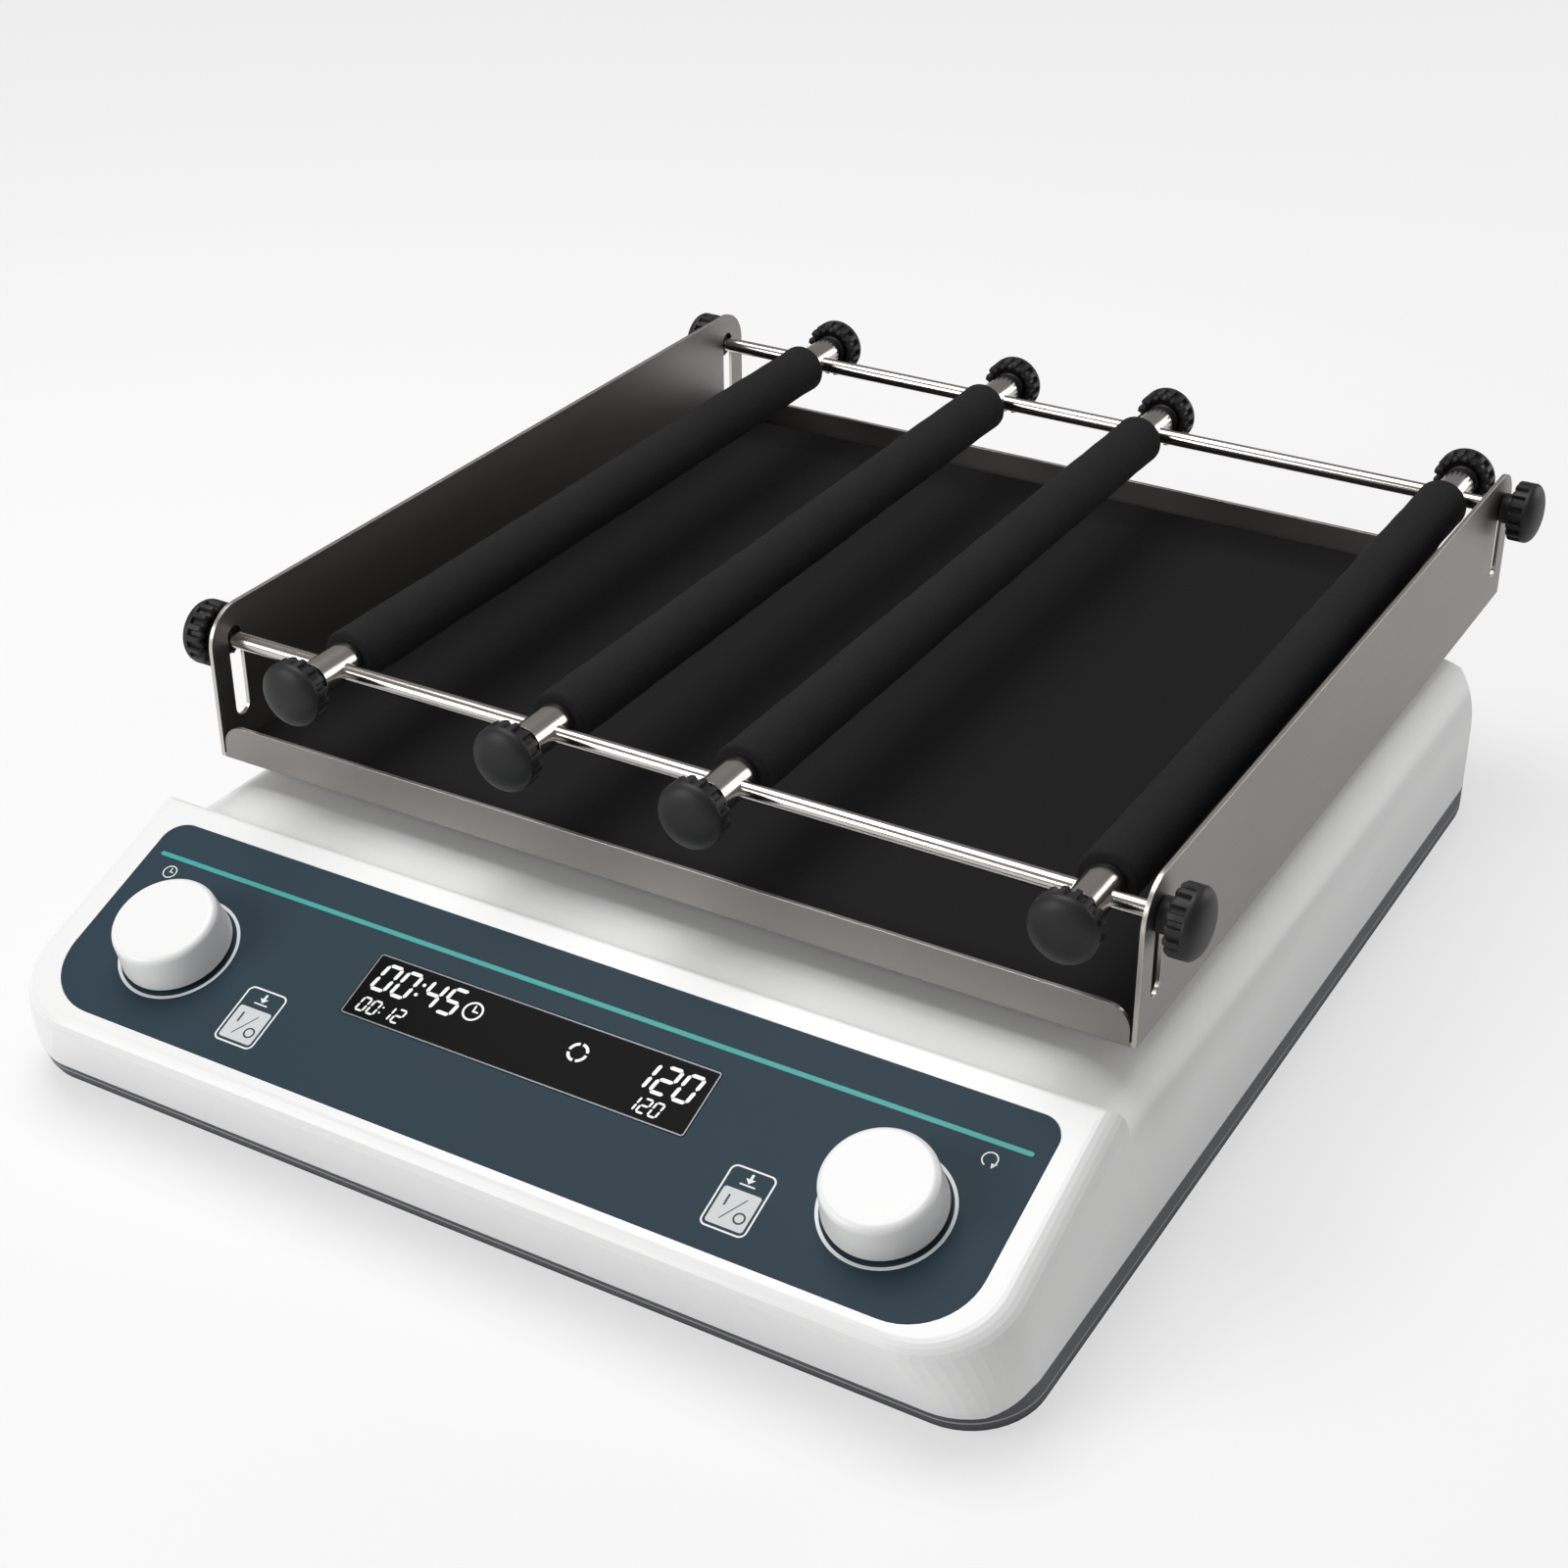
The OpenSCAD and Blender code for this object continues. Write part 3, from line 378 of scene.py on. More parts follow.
class Shape:
    """Points and faces gathered from skins over loops of points."""

    def __init__(self):
        self.points = []
        self.faces = []

    def skin(self, loops, close=True, ends=(True, True), ring=False):
        """Faces between neighbouring loops of equal length; ring joins last to first."""
        count = len(loops[0])
        base = len(self.points)
        for loop in loops:
            self.points += [Vector(p) for p in loop]
        rows = len(loops) if ring else len(loops) - 1
        for row in range(rows):
            here = base + row * count
            there = base + (row + 1) % len(loops) * count
            for i in range(count if close else count - 1):
                j = (i + 1) % count
                self.faces.append((here + i, here + j, there + j, there + i))
        if not ring:
            if ends[0]:
                self.faces.append(tuple(base + i for i in reversed(range(count))))
            if ends[1]:
                last = base + (len(loops) - 1) * count
                self.faces.append(tuple(last + i for i in range(count)))
        return self

    def lathe(self, profile, matrix, count=64, ends=(True, True)):
        """A turned form: profile gives radius and height along the matrix's Z axis."""
        loops = []
        for radius, height in profile:
            loops.append([matrix @ Vector((x, y, height)) for x, y in circle(radius, count)])
        return self.skin(loops, ends=ends)

    def slab(self, outline, place, low, high):
        """An outline given thickness; place turns (a, b, height) into a point."""
        return self.skin([[place(a, b, low) for a, b in outline],
                          [place(a, b, high) for a, b in outline]])

    def band(self, outer, inner, place, low, high):
        """A flat frame between two outlines of equal count."""
        rows = ((outer, low), (outer, high), (inner, high), (inner, low))
        return self.skin([[place(a, b, h) for a, b in line] for line, h in rows], ring=True)

    def arc_band(self, centre, outer, inner, start, stop, steps, top):
        """A flat arc on the panel between two radii and two angles in degrees."""
        far = arc(*centre, outer, start, stop, steps)
        near = arc(*centre, inner, start, stop, steps)
        rows = ((far, 0.0), (far, top), (near, top), (near, 0.0))
        return self.skin([[on_panel(a, b, h) for a, b in line] for line, h in rows],
                         close=False, ring=True)

    def piece(self, name, body, slot, material, sharp=35.0):
        mesh = bpy.data.meshes.new(name)
        mesh.from_pydata([tuple(p) for p in self.points], [], self.faces)
        mesh.validate()
        mesh.update()
        made = bpy.data.objects.new(name, mesh)
        bpy.context.scene.collection.objects.link(made)
        mesh.materials.append(material)
        mesh.shade_smooth()
        mesh.set_sharp_from_angle(angle=math.radians(sharp))
        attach(made, body)
        return made


def on_panel(x, s, height=0.0):
    """A point by its place across, up from the panel's lower edge, and above the panel."""
    return Vector((x, 0, 0)) + UP * (PANEL_LOW + s) + OUT * (PANEL_LEVEL + height)


def frame_at(point, axis):
    """A matrix whose Z axis points along axis, at a point."""
    z = Vector(axis).normalized()
    x = Vector((0, 0, 1)).cross(z)
    if x.length < 0.1:
        x = Vector((1, 0, 0))
    x.normalize()
    y = z.cross(x)
    return Matrix.Translation(point) @ Matrix((x, y, z)).transposed().to_4x4()


def reach(node, foot, axis):
    """The lowest and highest place of a turned node along its axis, and its radius."""
    offsets = [v.co - foot for v in node.data.vertices]
    along = [p.dot(axis) for p in offsets]
    radius = max((p - axis * h).length for p, h in zip(offsets, along))
    return min(along), max(along), radius


def arc(a, b, radius, start, stop, steps):
    """Points of a circular arc round (a, b), between two angles in degrees."""
    angles = [math.radians(start + (stop - start) * i / steps) for i in range(steps + 1)]
    return [(a + radius * math.cos(t), b + radius * math.sin(t)) for t in angles]


def quarter(steps, first=0):
    """Angles from 0, or from a later step, to a right angle."""
    return [math.pi / 2 * i / steps for i in range(first, steps + 1)]


# ------------------------------------------------------------------ finishes

FINISHES = {}


def finishes():
    """Every material by its slot, made once."""
    if FINISHES:
        return FINISHES
    c = bpy.context.scene.shaker_colours
    housing = tuple(c.housing)
    FINISHES.update(
        housing=moulding("gloss_housing_plastic", housing, 0.28, 0.0000015, 1200.0, 0.0, 0.1,
                         worn=0.02, mottle=0.006),
        skirt=skirt_moulding("satin_skirt_plastic", tuple(c.skirt), (0.30, 0.31, 0.32)),
        bottom=coated("powder_coated_plate", (0.05, 0.052, 0.055), 0.55),
        feet=rubbery("foot_rubber", (0.012, 0.012, 0.012)),
        panel=moulding("panel_overlay", tuple(c.panel), 0.45, 0.00002, 4200.0, 0.0001,
                       shine=0.07),
        window=moulding("display_lens", (0.002, 0.002, 0.0024), 0.2, 0.000001, 900.0, 0.0002,
                        shine=0.03),
        display=moulding("display_body", (0.05, 0.06, 0.055), 0.5),
        board=moulding("green_board", (0.012, 0.11, 0.035), 0.35),
        encoder=turned("stamped_encoder_steel", (0.55, 0.56, 0.57), 0.35),
        screw=turned("plated_screws", (0.65, 0.65, 0.66), 0.25),
        chassis=coated("zinc_plated_chassis", (0.55, 0.56, 0.57), 0.38, 0.9),
        bearing_housing=turned("turned_aluminium", (0.6, 0.61, 0.62), 0.32, (1, 1, 12)),
        bearing=turned("ground_bearing_steel", (0.7, 0.71, 0.72), 0.18, (1, 1, 14)),
        winding=turned("copper_windings", (0.62, 0.25, 0.1), 0.38, (1, 1, 30), marks=0.0001),
        belt=rubbery("belt_rubber", (0.012, 0.012, 0.012), 0.6, 0.00008, 1900.0),
        steel_dark=turned("blackened_steel", (0.16, 0.17, 0.18), 0.4, (1, 1, 10)),
        crank=turned("turned_crank_steel", (0.58, 0.59, 0.6), 0.28, (1, 1, 12)),
        weight=turned("cast_brass_weight", (0.55, 0.42, 0.2), 0.4),
        carriage=turned("carriage_aluminium", (0.62, 0.63, 0.64), 0.36, (1, 0.1, 1)),
        # The bright steel colour passed here paints a highlight along the tray's edges.
        tray=tray_steel("brushed_tray_steel", tuple(c.steel), tuple(c.bright)),
        mat=rubbery("mat_rubber", tuple(c.mat), 0.68, 0.00015, 1100.0),
        rod=turned("polished_rod_steel", tuple(c.bright), 0.16, (0.2, 9, 9)),
        roller=turned("turned_roller_steel", tuple(c.bright), 0.2, (9, 0.3, 9)),
        foam=rubbery("closed_cell_foam", tuple(c.foam), 0.86, 0.0003, 950.0),
        knob=moulding("satin_knob_plastic", tuple(c.knob), 0.46, 0.00003, 1900.0, 0.0002,
                      shine=0.3),
        dial=moulding("dial_plastic", tuple(c.dial), 0.34, 0.000002, 1200.0, 0.0003, 0.05,
                      worn=0.02, mottle=0.006),
        shaft=turned("turned_shaft_steel", (0.62, 0.62, 0.63), 0.25, (1, 1, 12)),
        fitting=moulding("fitting_plastic", (0.018, 0.018, 0.019), 0.4),
        print_white=moulding("white_print", tuple(c.print_white), 0.5, edge=0.00005),
        line=moulding("teal_print", tuple(c.line), 0.5, edge=0.00005),
        dark_print=moulding("dark_print", (0.02, 0.03, 0.035), 0.5, edge=0.00005),
        grey_print=moulding("grey_print", (0.62, 0.64, 0.65), 0.5, edge=0.00005),
        digits=glowing("lit_segments", tuple(c.digits), 0.95),
    )
    return FINISHES


# ------------------------------------------------------------------ operators

class SHAKER_OT_finish_parts(bpy.types.Operator):
    """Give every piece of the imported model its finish"""

    bl_idname = "shaker.finish_parts"
    bl_label = "Finish the parts"

    def execute(self, context):
        made = finishes()
        for row in frame["record"]["subparts"]:
            node = NODES[row["node"]]
            if row["material_slot"] not in made:
                raise RuntimeError("no finish for slot " + row["material_slot"])
            node.data.materials.clear()
            node.data.materials.append(made[row["material_slot"]])
            for face in node.data.polygons:
                face.material_index = 0
        return {"FINISHED"}


class SHAKER_OT_panel_print(bpy.types.Operator):
    """Print the line, the rings and the key signs on the panel"""

    bl_idname = "shaker.panel_print"
    bl_label = "Print the panel"

    def execute(self, context):
        made = finishes()
        d = context.scene.shaker_detail
        top = d.print_height
        sign_radius, sign_drop = 0.0026, 0.0060
        line_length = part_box("control_panel")[1].x * 2 - 0.009
        line_s = PANEL_HIGH - PANEL_LOW - d.line_from_top
        line = round_rect(line_length, d.line_width, d.line_width * 0.49, (-0.0004, line_s))
        Shape().slab(line, on_panel, 0.0, top).piece("teal_line", "root", "panel",
                                                     made["line"])
        for name in ("time", "speed"):
            axle = Vector(JOINTS[name + "_turn"]["pos_m"])
            centre = (axle.x, axle.dot(UP) - PANEL_LOW)
            outer = circle(d.ring_radius, 96, centre)
            inner = circle(d.ring_radius - d.ring_width, 96, centre)
            Shape().band(outer, inner, on_panel, 0.0, top).piece(
                name + "_ring", "root", "panel", made["print_white"])
        self.key_sign("time", -d.key_x, d, made)
        self.key_sign("speed", d.key_x, d, made)
        sign_s = line_s - sign_drop
        self.clock_sign(-0.1555, sign_s, sign_radius, "time_sign", top, made)
        self.spin_sign(0.1520, sign_s, sign_radius, "speed_sign", top, made)
        return {"FINISHED"}

    def key_sign(self, name, x, d, made):
        """A framed sign: a press arrow above a light field with a split on and off mark."""
        top = d.print_height
        s = d.key_s
        w, h = d.key_width, d.key_length
        sign = Shape()
        sign.band(round_rect(w, h, 0.0024, (x, s)),
                  round_rect(w - 0.0012, h - 0.0012, 0.0018, (x, s)), on_panel, 0.0, top)
        press = s + h * 0.335
        sign.slab([(x - 0.0016, press + 0.0003), (x + 0.0016, press + 0.0003),
                   (x, press - 0.0014)][::-1], on_panel, 0.0, top)
        sign.slab(round_rect(0.0009, 0.0018, 0.0001, (x, press + 0.0011)), on_panel, 0.0, top)
        sign.slab(round_rect(0.0052, 0.0005, 0.0002, (x, press - 0.0020)), on_panel, 0.0, top)
        sign.piece(name + "_key_frame", "root", "panel", made["print_white"])
        field_h = h * 0.58
        field_s = s - h * 0.14
        field = Shape().slab(round_rect(w - 0.0028, field_h, 0.0010, (x, field_s)),
                             on_panel, 0.0, top)
        field.piece(name + "_key_field", "root", "panel", made["grey_print"])
        marks = Shape()
        ink = top * 1.6
        lean, rise, thin = 0.0026, 0.0042, 0.0002
        marks.slab([(x - lean - thin, field_s - rise), (x - lean + thin, field_s - rise),
                    (x + lean + thin, field_s + rise), (x + lean - thin, field_s + rise)],
                   on_panel, 0.0, ink)
        marks.slab(round_rect(0.0007, 0.0040, 0.0003, (x - 0.0034, field_s + 0.0022)),
                   on_panel, 0.0, ink)
        ring = (x + 0.0032, field_s - 0.0022)
        marks.band(circle(0.0020, 32, ring), circle(0.0014, 32, ring), on_panel, 0.0, ink)
        marks.piece(name + "_key_marks", "root", "panel", made["dark_print"])

    def clock_sign(self, x, s, r, name, top, made):
        """A ring with two hands."""
        sign = Shape()
        sign.band(circle(r, 40, (x, s)), circle(r - 0.0004, 40, (x, s)), on_panel, 0.0, top)
        sign.slab(round_rect(0.0004, r * 0.75, 0.00015, (x, s + r * 0.28)), on_panel, 0.0, top)
        sign.slab(round_rect(r * 0.62, 0.0004, 0.00015, (x + r * 0.22, s)), on_panel, 0.0, top)
        sign.piece(name, "root", "panel", made["print_white"])

    def spin_sign(self, x, s, r, name, top, made):
        """An open ring with an arrow head at its lower right end."""
        start, stop = -40, 250
        sign = Shape().arc_band((x, s), r, r - 0.00045, start, stop, 28, top)
        a, b = arc(x, s, r - 0.0002, start, stop, 1)[0]
        sign.slab([(a - 0.0009, b + 0.0004), (a - 0.0004, b - 0.0013),
                   (a + 0.0011, b + 0.0007)], on_panel, 0.0, top)
        sign.piece(name, "root", "panel", made["print_white"])


# Segments of a digit as strokes between corners of a two-by-one cell
STROKES = {"a": ((0, 2), (1, 2)), "b": ((1, 2), (1, 1)), "c": ((1, 1), (1, 0)),
           "d": ((0, 0), (1, 0)), "e": ((0, 1), (0, 0)), "f": ((0, 2), (0, 1)),
           "g": ((0, 1), (1, 1))}
DIGITS = {"0": "abcdef", "1": "bc", "2": "abged", "3": "abgcd", "4": "fgbc", "5": "afgcd",
          "6": "afgedc", "7": "abc", "8": "abcdefg", "9": "abcdfg"}


class SHAKER_OT_display(bpy.types.Operator):
    """Fill the display window with its lit digits and signs"""

    bl_idname = "shaker.display"
    bl_label = "Light the display"

    def execute(self, context):
        made = finishes()
        d = context.scene.shaker_detail
        points = [v.co for v in NODES["display_window"].data.vertices]
        half = max(p.x for p in points)
        low = min(p.dot(UP) for p in points) - PANEL_LOW
        high = max(p.dot(UP) for p in points) - PANEL_LOW
        tall = high - low
        top = d.print_height
        rim = Shape()
        middle = (0.0, (low + high) / 2)
        rim.band(round_rect(half * 2 - 0.0002, tall - 0.0002, 0.0011, middle),
                 round_rect(half * 2 - 0.0013, tall - 0.0013, 0.0006, middle),
                 on_panel, -0.0001, top * 2)
        rim.piece("display_rim", "root", "window", made["steel_dark"])
        lit = Shape()
        h, small = d.digit_height, d.small_digit_height
        row = high - 0.0032 - h
        small_row = low + 0.0028
        self.number(lit, "00:45", -half + 0.0040, row, h, top)
        self.number(lit, "00:12", -half + 0.0042, small_row, small, top)
        self.number(lit, "120", half - 0.0260, low + 0.0108, h, top)
        self.number(lit, "120", half - 0.0225, small_row, small, top)
        lit.piece("lit_digits", "root", "window", made["digits"])
        signs = Shape()
        clock = (-half + 0.0415, row + h * 0.42)
        signs.band(circle(0.0036, 40, clock), circle(0.0029, 40, clock), on_panel, 0, top)
        signs.slab(round_rect(0.0006, 0.0026, 0.0002, (clock[0], clock[1] + 0.0010)),
                   on_panel, 0, top)
        signs.slab(round_rect(0.0022, 0.0006, 0.0002, (clock[0] + 0.0008, clock[1])),
                   on_panel, 0, top)
        ring = (half - 0.0465, low + 0.0148)
        for start in (15, 105, 195, 285):
            signs.arc_band(ring, 0.0036, 0.0026, start, start + 72, 8, top)
        signs.piece("lit_signs", "root", "window", made["digits"])
        return {"FINISHED"}

    def number(self, shape, text, x, s, height, top):
        """Slanted seven-segment digits, left to right; a colon takes half a cell."""
        cell = height * 0.52
        gap = height * 0.27
        thick = height * 0.135
        slant = 0.16
        for mark in text:
            if mark == ":":
                for up in (0.3, 0.72):
                    shape.slab(circle(thick * 0.5, 16, (x + height * (0.02 + up * 0.14),
                                                        s + height * up)),
                               on_panel, 0.0, top)
                x += height * 0.26
                continue
            for stroke in DIGITS[mark]:
                (x0, y0), (x1, y1) = STROKES[stroke]
                a = Vector((x0 * cell, y0 * height / 2))
                b = Vector((x1 * cell, y1 * height / 2))
                run = (b - a).normalized()
                side = Vector((-run.y, run.x)) * thick / 2
                a += run * thick * 0.14
                b -= run * thick * 0.14
                corner = run * thick * 0.5
                line = [a, a + corner - side, b - corner - side, b, b - corner + side,
                        a + corner + side]
                shape.slab([(x + p.x + p.y * slant, s + p.y) for p in line], on_panel,
                           0.0, top)
            x += cell + gap


class SHAKER_OT_rear_marks(bpy.types.Operator):
    """Print the on and off marks on the power rocker"""

    bl_idname = "shaker.rear_marks"
    bl_label = "Mark the rocker"

    def execute(self, context):
        made = finishes()
        node = NODES["power_rocker"]
        low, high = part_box("power_rocker")
        x = (low.x + high.x) / 2
        tall = high.z - low.z
        tree = BVHTree.FromPolygons([v.co for v in node.data.vertices],
                                    [tuple(f.vertices) for f in node.data.polygons])

        def on_face(a, b, height):
            hit = tree.ray_cast(Vector((a, high.y + 0.05, b)), Vector((0, -1, 0)))[0]
            if hit is None:
                raise RuntimeError("a rocker mark misses the rocker")
            return hit + Vector((0, height, 0))

        inset = tall * 0.24
        root, top = -0.0001, 0.00005
        marks = Shape()
        marks.slab(round_rect(0.0009, 0.0042, 0.0002, (x, high.z - inset))[::-1],
                   on_face, root, top)
        ring = (x, low.z + inset)
        marks.band(circle(0.0022, 32, ring), circle(0.0014, 32, ring), on_face, root, top)
        marks.piece("rocker_marks", "switch", "fitting", made["print_white"])
        return {"FINISHED"}


class SHAKER_OT_dials(bpy.types.Operator):
    """Turn the two dials of the panel"""

    bl_idname = "shaker.dials"
    bl_label = "Turn the dials"

    def execute(self, context):
        made = finishes()
        for name in ("time", "speed"):
            node = NODES[name + "_dial"]
            joint = JOINTS[name + "_turn"]
            axis = Vector(joint["axis"])
            foot = Vector(joint["pos_m"])
            tall, wide = reach(node, foot, axis)[1:]
            slim = wide - 0.0010
            soft = 0.0024
            cap = [(wide - 0.0022, 0.0002), (wide - 0.0006, 0.0), (wide - 0.0001, 0.0004),
                   (wide, 0.0010)]
            cap += [(wide + (slim - wide) * t, 0.001 + (tall - 0.0034) * t)
                    for t in (0.33, 0.66, 1.0)]
            cap += [(slim - soft + soft * math.cos(a), tall - soft + soft * math.sin(a))
                    for a in quarter(10, 1)]
            cap += [(slim - 0.005, tall - 0.0001), (slim - 0.009, tall - 0.00016),
                    (slim * 0.25, tall - 0.0002)]
            place = frame_at(foot, axis)
            dial = Shape().lathe(cap, place, 128, ends=(False, True))
            boss, bore, ceiling = 0.0056, 0.0031, tall - 0.003
            dial.lathe([(wide - 0.0022, 0.0002), (wide - 0.0026, 0.002),
                        (wide - 0.0030, ceiling), (boss, ceiling), (boss, 0.0006),
                        (bore, 0.0006), (bore, ceiling)], place, 128, ends=(False, True))
            piece = dial.piece(name + "_dial_cap", name + "_knob", "dial", made["dial"], 50)
            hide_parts(name + "_dial")
        return {"FINISHED"}


class SHAKER_OT_knobs(bpy.types.Operator):
    """Mould the twelve ribbed clamp knobs"""

    bl_idname = "shaker.knobs"
    bl_label = "Mould the clamp knobs"

    def execute(self, context):
        made = finishes()
        d = context.scene.shaker_detail
        for joint in JOINTS.values():
            body = joint["child"]
            clamps = body.startswith("knob_") or body.endswith("_knob")
            if clamps and body not in ("time_knob", "speed_knob"):
                self.knob(frame["record"]["behaviour"]["bodies"][body][0], joint, d, made)
        return {"FINISHED"}

    def knob(self, node, joint, d, made):
        """A domed cap with recesses round its rear edge, a hub behind it and its screw."""
        body = joint["child"]
        axis = Vector(joint["axis"])
        start = Vector(joint["pos_m"])
        place = frame_at(start, axis)
        tip, out, radius = reach(NODES[node], start, axis)
        back = out - 0.0105
        shoulder = back + 0.0060
        ribs = d.knob_ribs
        count = ribs * 16
        # Radius, height, and how much of the recess depth is taken there
        profile = [(radius - 0.0050, back + 0.0022, 0.0), (radius - 0.0030, back + 0.0004, 0.0),
                   (radius - 0.0022, back, 0.6), (radius - 0.0007, back, 1.0),
                   (radius - 0.0002, back + 0.0004, 1.0), (radius, back + 0.0010, 1.0),
                   (radius, back + 0.0030, 1.0), (radius, back + 0.0048, 1.0),
                   (radius, back + 0.0051, 0.9), (radius, back + 0.0054, 0.1),
                   (radius, shoulder, 0.0)]
        for a in quarter(14, 1):
            r = max(0.0004, radius * max(0.0, math.cos(a)) ** 0.8)
            profile.append((r, shoulder + (out - shoulder) * math.sin(a), 0.0))
        loops = []
        for r, h, deep in profile:
            ring = []
            for i in range(count):
                angle = TURN * i / count
                wave = min(1.0, max(0.0, 0.4 + 4.0 * math.cos(angle * ribs)))
                size = r - d.rib_depth * deep * wave
                ring.append(place @ Vector((size * math.cos(angle), size * math.sin(angle), h)))
            loops.append(ring)
        grip = Shape().skin(loops, ends=(False, True))
        grip.lathe([(radius - 0.0050, back + 0.0022), (0.0040, back + 0.0022)], place, count,
                   ends=(False, False))
        screw_r, pitch, groove = 0.002, 0.0007, 0.00022
        grip.lathe([(screw_r, 0.0002), (0.0052, 0.0), (0.0058, 0.0005), (0.0058, back - 0.0004),
                    (0.0064, back + 0.0002), (0.0064, back + 0.0024)], place, 48)
        cap = grip.piece(node + "_grip", body, "knob", made["knob"], 40)
        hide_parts(node)
        thread = [(screw_r - 0.0004, tip)]
        for i in range(int(-tip / pitch)):
            z = tip + 0.0003 + i * pitch
            thread += [(screw_r, z), (screw_r - groove, z + pitch / 2)]
        thread.append((screw_r - 0.0002, 0.0004))
        screw = Shape().lathe(thread, place, 32)
        screw.piece(node + "_screw", body, "roller", made["roller"], 40)


class SHAKER_OT_sleeves(bpy.types.Operator):
    """Slip the foam sleeves over the roller bars"""

    bl_idname = "shaker.sleeves"
    bl_label = "Fit the foam sleeves"

    def execute(self, context):
        made = finishes()
        d = context.scene.shaker_detail
        for index in range(1, 5):
            node = "foam_sleeve_%d" % index
            low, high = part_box(node)
            radius = (high.x - low.x) / 2
            centre = Vector(((low.x + high.x) / 2, low.y, (low.z + high.z) / 2))
            tall = high.y - low.y
            core = 0.0051
            soft = d.foam_round
            profile = [(core, 0.0004)]
            profile += [(radius - soft + soft * math.sin(a), soft - soft * math.cos(a))
                        for a in quarter(6)]
            rows, uneven = 56, 0.00008
            for i in range(1, rows):
                z = soft + (tall - 2 * soft) * i / rows
                swell = math.sin(i * 1.7 + index) * uneven + math.sin(i * 0.45) * uneven
                profile.append((radius - 2 * uneven + swell, z))
            profile += [(radius - soft + soft * math.cos(a), tall - soft + soft * math.sin(a))
                        for a in quarter(6)]
            profile.append((core, tall - 0.0004))
            place = frame_at(centre, (0, 1, 0))
            sleeve = Shape().lathe(profile, place, 64, ends=(False, False))
            sleeve.lathe([(core, tall - 0.0004), (core, 0.0004)], place, 64,
                         ends=(False, False))
            piece = sleeve.piece("sleeve_%d" % index, "roller_%d" % index, "foam",
                                 made["foam"], 60)
            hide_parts(node)
        return {"FINISHED"}


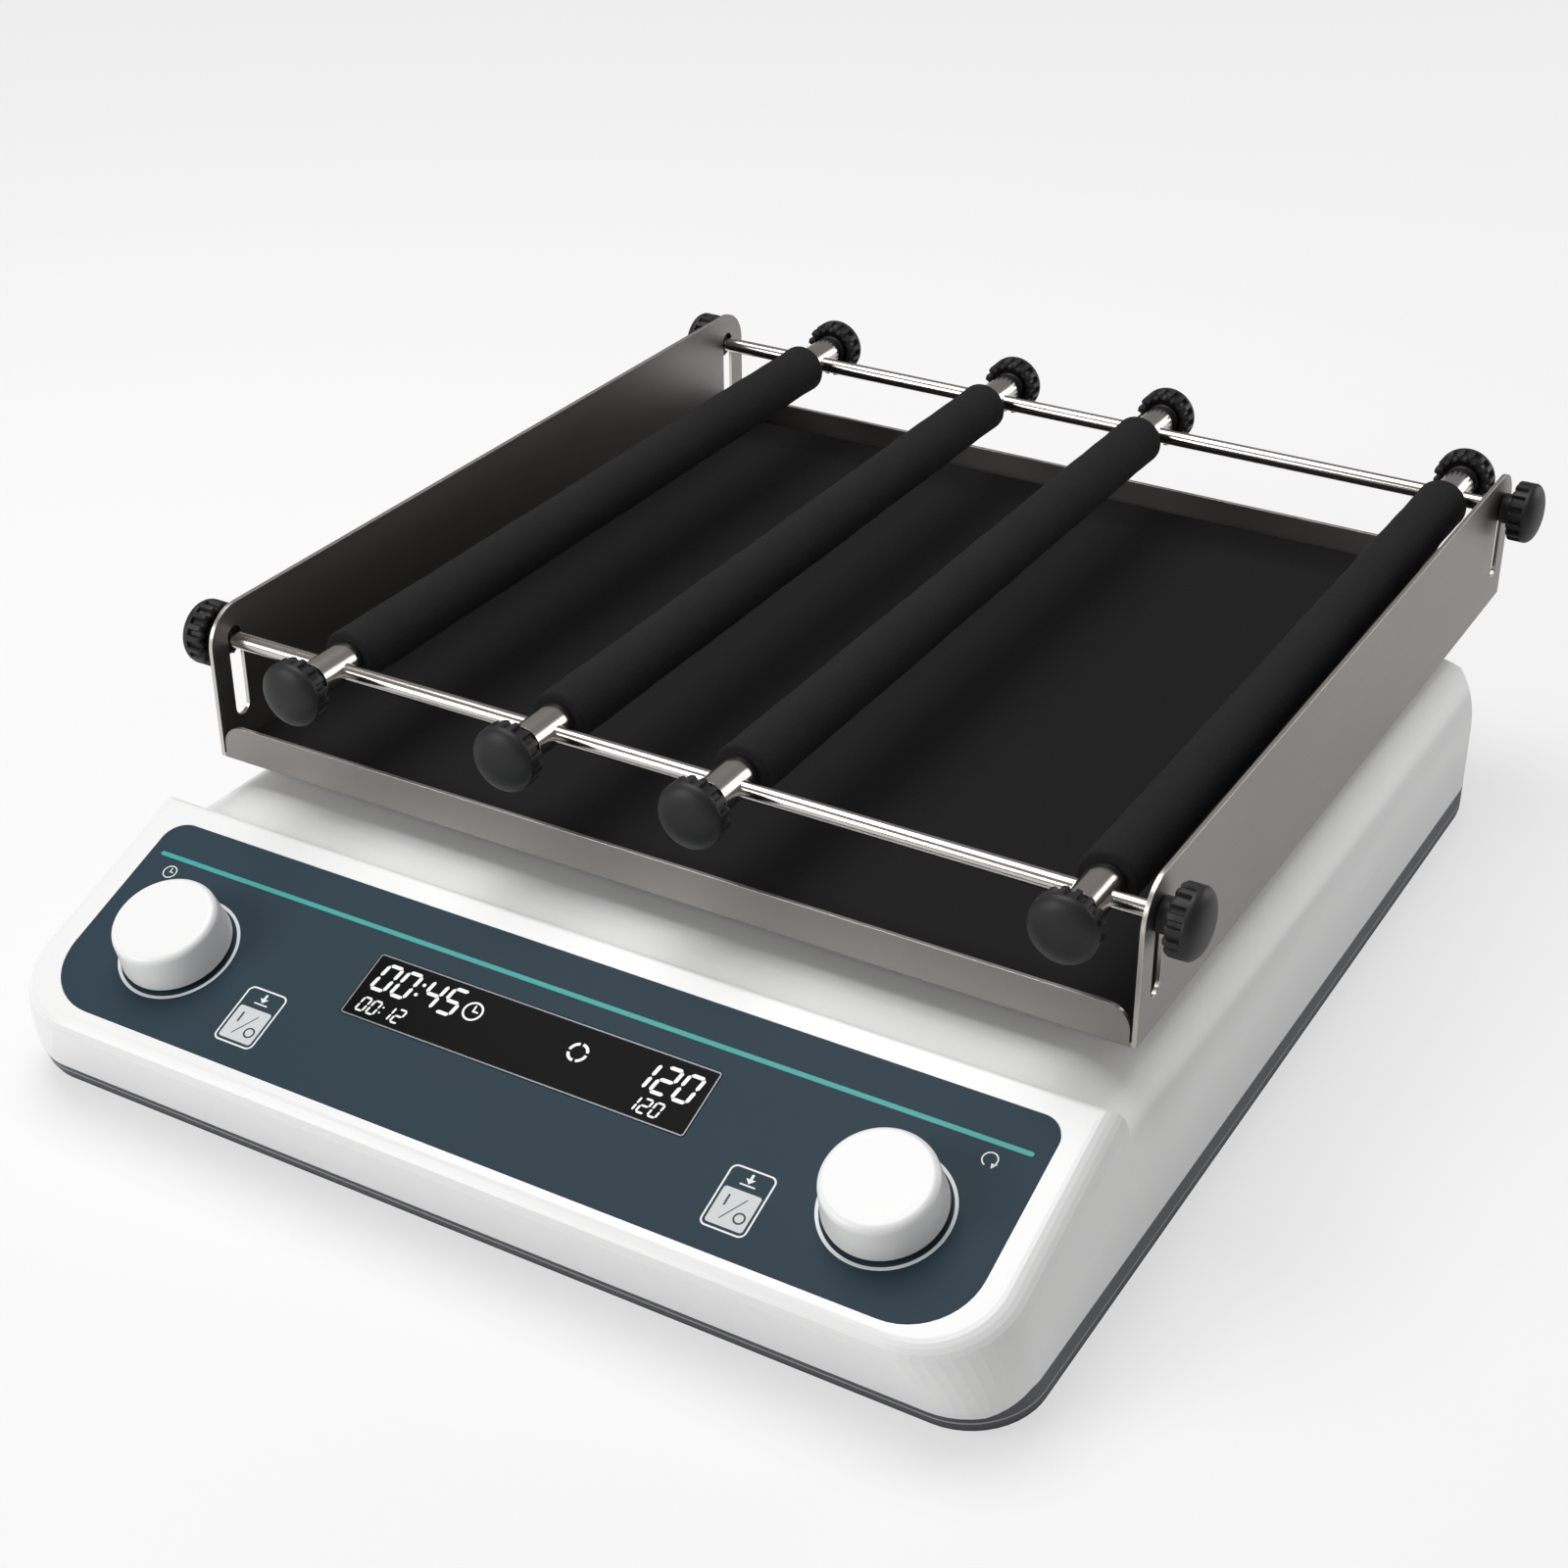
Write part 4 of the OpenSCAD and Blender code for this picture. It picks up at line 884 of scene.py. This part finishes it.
class SHAKER_OT_stage(bpy.types.Operator):
    """Set the floor, the lamps and the camera"""

    bl_idname = "shaker.stage"
    bl_label = "Set the stage"

    def execute(self, context):
        scene = context.scene
        s = scene.shaker_stage
        self.floor(scene)
        self.world(scene, s.world_level)
        for name, place, target, size, power in (
                ("key_lamp", (-0.35, 0.1, 1.5), (0, 0, 0), 1.2, s.key_power),
                ("fill_lamp", (-0.9, -1.5, 0.8), (0, 0, 0.05), 1.0, s.fill_power),
                ("rim_lamp", (1.1, 1.5, 0.6), (0, 0, 0.08), 1.0, s.rim_power)):
            self.lamp(name, place, target, size, power)
        self.camera(scene, s)
        scene.view_settings.view_transform = "Standard"
        return {"FINISHED"}

    def floor(self, scene):
        """A pale floor that fades to white in the distance."""
        mesh = bpy.data.meshes.new("floor")
        size = 12.0
        mesh.from_pydata([(-size, -size, 0), (size, -size, 0), (size, size, 0),
                          (-size, size, 0)], [], [(0, 1, 2, 3)])
        floor = bpy.data.objects.new("floor", mesh)
        scene.collection.objects.link(floor)
        sheet = Sheet("pale_floor")
        sight = sheet.node("ShaderNodeLightPath")
        outputs = sight.socket.node.outputs
        seen = sheet.node("ShaderNodeMath", {"operation": "MAXIMUM"},
                          {0: Wire(sheet, outputs["Is Camera Ray"]),
                           1: Wire(sheet, outputs["Is Glossy Ray"]) * 0.3})
        paper = sheet.node("ShaderNodeBsdfDiffuse", {}, {0: (0.86, 0.86, 0.86, 1.0)})
        light = sheet.node("ShaderNodeEmission", {}, {0: (1.0, 1.0, 1.0, 1.0), 1: 1.0})
        x, y, _ = sheet.axes()
        far = sheet.ramp((x * x + y * y) ** 0.5, 0.7, 4.0)
        near_glow = 0.62
        both = sheet.node("ShaderNodeMixShader", {},
                          {0: seen * (far * (1 - near_glow) + near_glow), 1: paper, 2: light})
        output = sheet.tree.nodes.new("ShaderNodeOutputMaterial")
        sheet.tree.links.new(both.socket, output.inputs[0])
        mesh.materials.append(sheet.material)

    def world(self, scene, level):
        """A white backdrop for the camera, and an even light of its own level."""
        world = bpy.data.worlds.new("studio")
        scene.world = world
        world.use_nodes = True
        tree = world.node_tree
        tree.nodes.clear()
        path = tree.nodes.new("ShaderNodeLightPath")
        seen = tree.nodes.new("ShaderNodeBackground")
        seen.inputs[0].default_value = (1.0, 1.0, 1.0, 1.0)
        seen.inputs[1].default_value = 1.0
        even = tree.nodes.new("ShaderNodeBackground")
        even.inputs[0].default_value = (1.0, 0.99, 0.98, 1.0)
        even.inputs[1].default_value = level
        mix = tree.nodes.new("ShaderNodeMixShader")
        output = tree.nodes.new("ShaderNodeOutputWorld")
        tree.links.new(path.outputs["Is Camera Ray"], mix.inputs[0])
        tree.links.new(even.outputs[0], mix.inputs[1])
        tree.links.new(seen.outputs[0], mix.inputs[2])
        tree.links.new(mix.outputs[0], output.inputs[0])

    def lamp(self, name, place, target, size, power):
        data = bpy.data.lights.new(name, "AREA")
        data.shape = "DISK"
        data.size = size
        data.energy = power
        lamp = bpy.data.objects.new(name, data)
        bpy.context.scene.collection.objects.link(lamp)
        lamp.location = place
        lamp.rotation_mode = "QUATERNION"
        lamp.rotation_quaternion = (Vector(target) - Vector(place)).to_track_quat("-Z", "Y")

    def camera(self, scene, s):
        data = bpy.data.cameras.new("camera")
        camera = bpy.data.objects.new("camera", data)
        scene.collection.objects.link(camera)
        data.lens = s.lens
        data.sensor_width = 36.0
        data.shift_x = -0.0118
        data.shift_y = -0.0054
        data.clip_start = 0.05
        data.clip_end = 60.0
        place = (0.40275, -0.71690, 0.531)
        right = Vector((0.865706, 0.500553, -0.000661))
        forward = Vector((-0.432951, 0.748124, -0.502855))
        up = right.cross(forward).normalized()
        turn = Matrix((right, up, -forward)).transposed()
        camera.matrix_world = Matrix.Translation(place) @ turn.to_4x4()
        scene.camera = camera


OPERATORS = (SHAKER_OT_finish_parts, SHAKER_OT_panel_print, SHAKER_OT_display,
             SHAKER_OT_rear_marks, SHAKER_OT_dials, SHAKER_OT_knobs, SHAKER_OT_sleeves,
             SHAKER_OT_stage)


class SHAKER_PT_panel(bpy.types.Panel):
    """Lists the steps that finish the shaker"""

    bl_label = "Orbital shaker"
    bl_idname = "SHAKER_PT_panel"
    bl_space_type = "VIEW_3D"
    bl_region_type = "UI"
    bl_category = "Shaker"

    def draw(self, context):
        for operator in OPERATORS:
            self.layout.operator(operator.bl_idname)
        for group in ("shaker_colours", "shaker_detail", "shaker_stage"):
            box = self.layout.box()
            values = getattr(context.scene, group)
            for key in values.bl_rna.properties.keys():
                if key not in ("rna_type", "name"):
                    box.prop(values, key)


GROUPS = {"shaker_colours": ShakerColours, "shaker_detail": ShakerDetail,
          "shaker_stage": ShakerStage}


def register():
    for kind in (*GROUPS.values(), *OPERATORS, SHAKER_PT_panel):
        bpy.utils.register_class(kind)
    for name, kind in GROUPS.items():
        setattr(bpy.types.Scene, name, bpy.props.PointerProperty(type=kind))


def unregister():
    for name in GROUPS:
        delattr(bpy.types.Scene, name)
    for kind in reversed((*GROUPS.values(), *OPERATORS, SHAKER_PT_panel)):
        bpy.utils.unregister_class(kind)


def main():
    register()
    for operator in OPERATORS:
        group, name = operator.bl_idname.split(".")
        getattr(getattr(bpy.ops, group), name)()


if __name__ == "__main__":
    main()
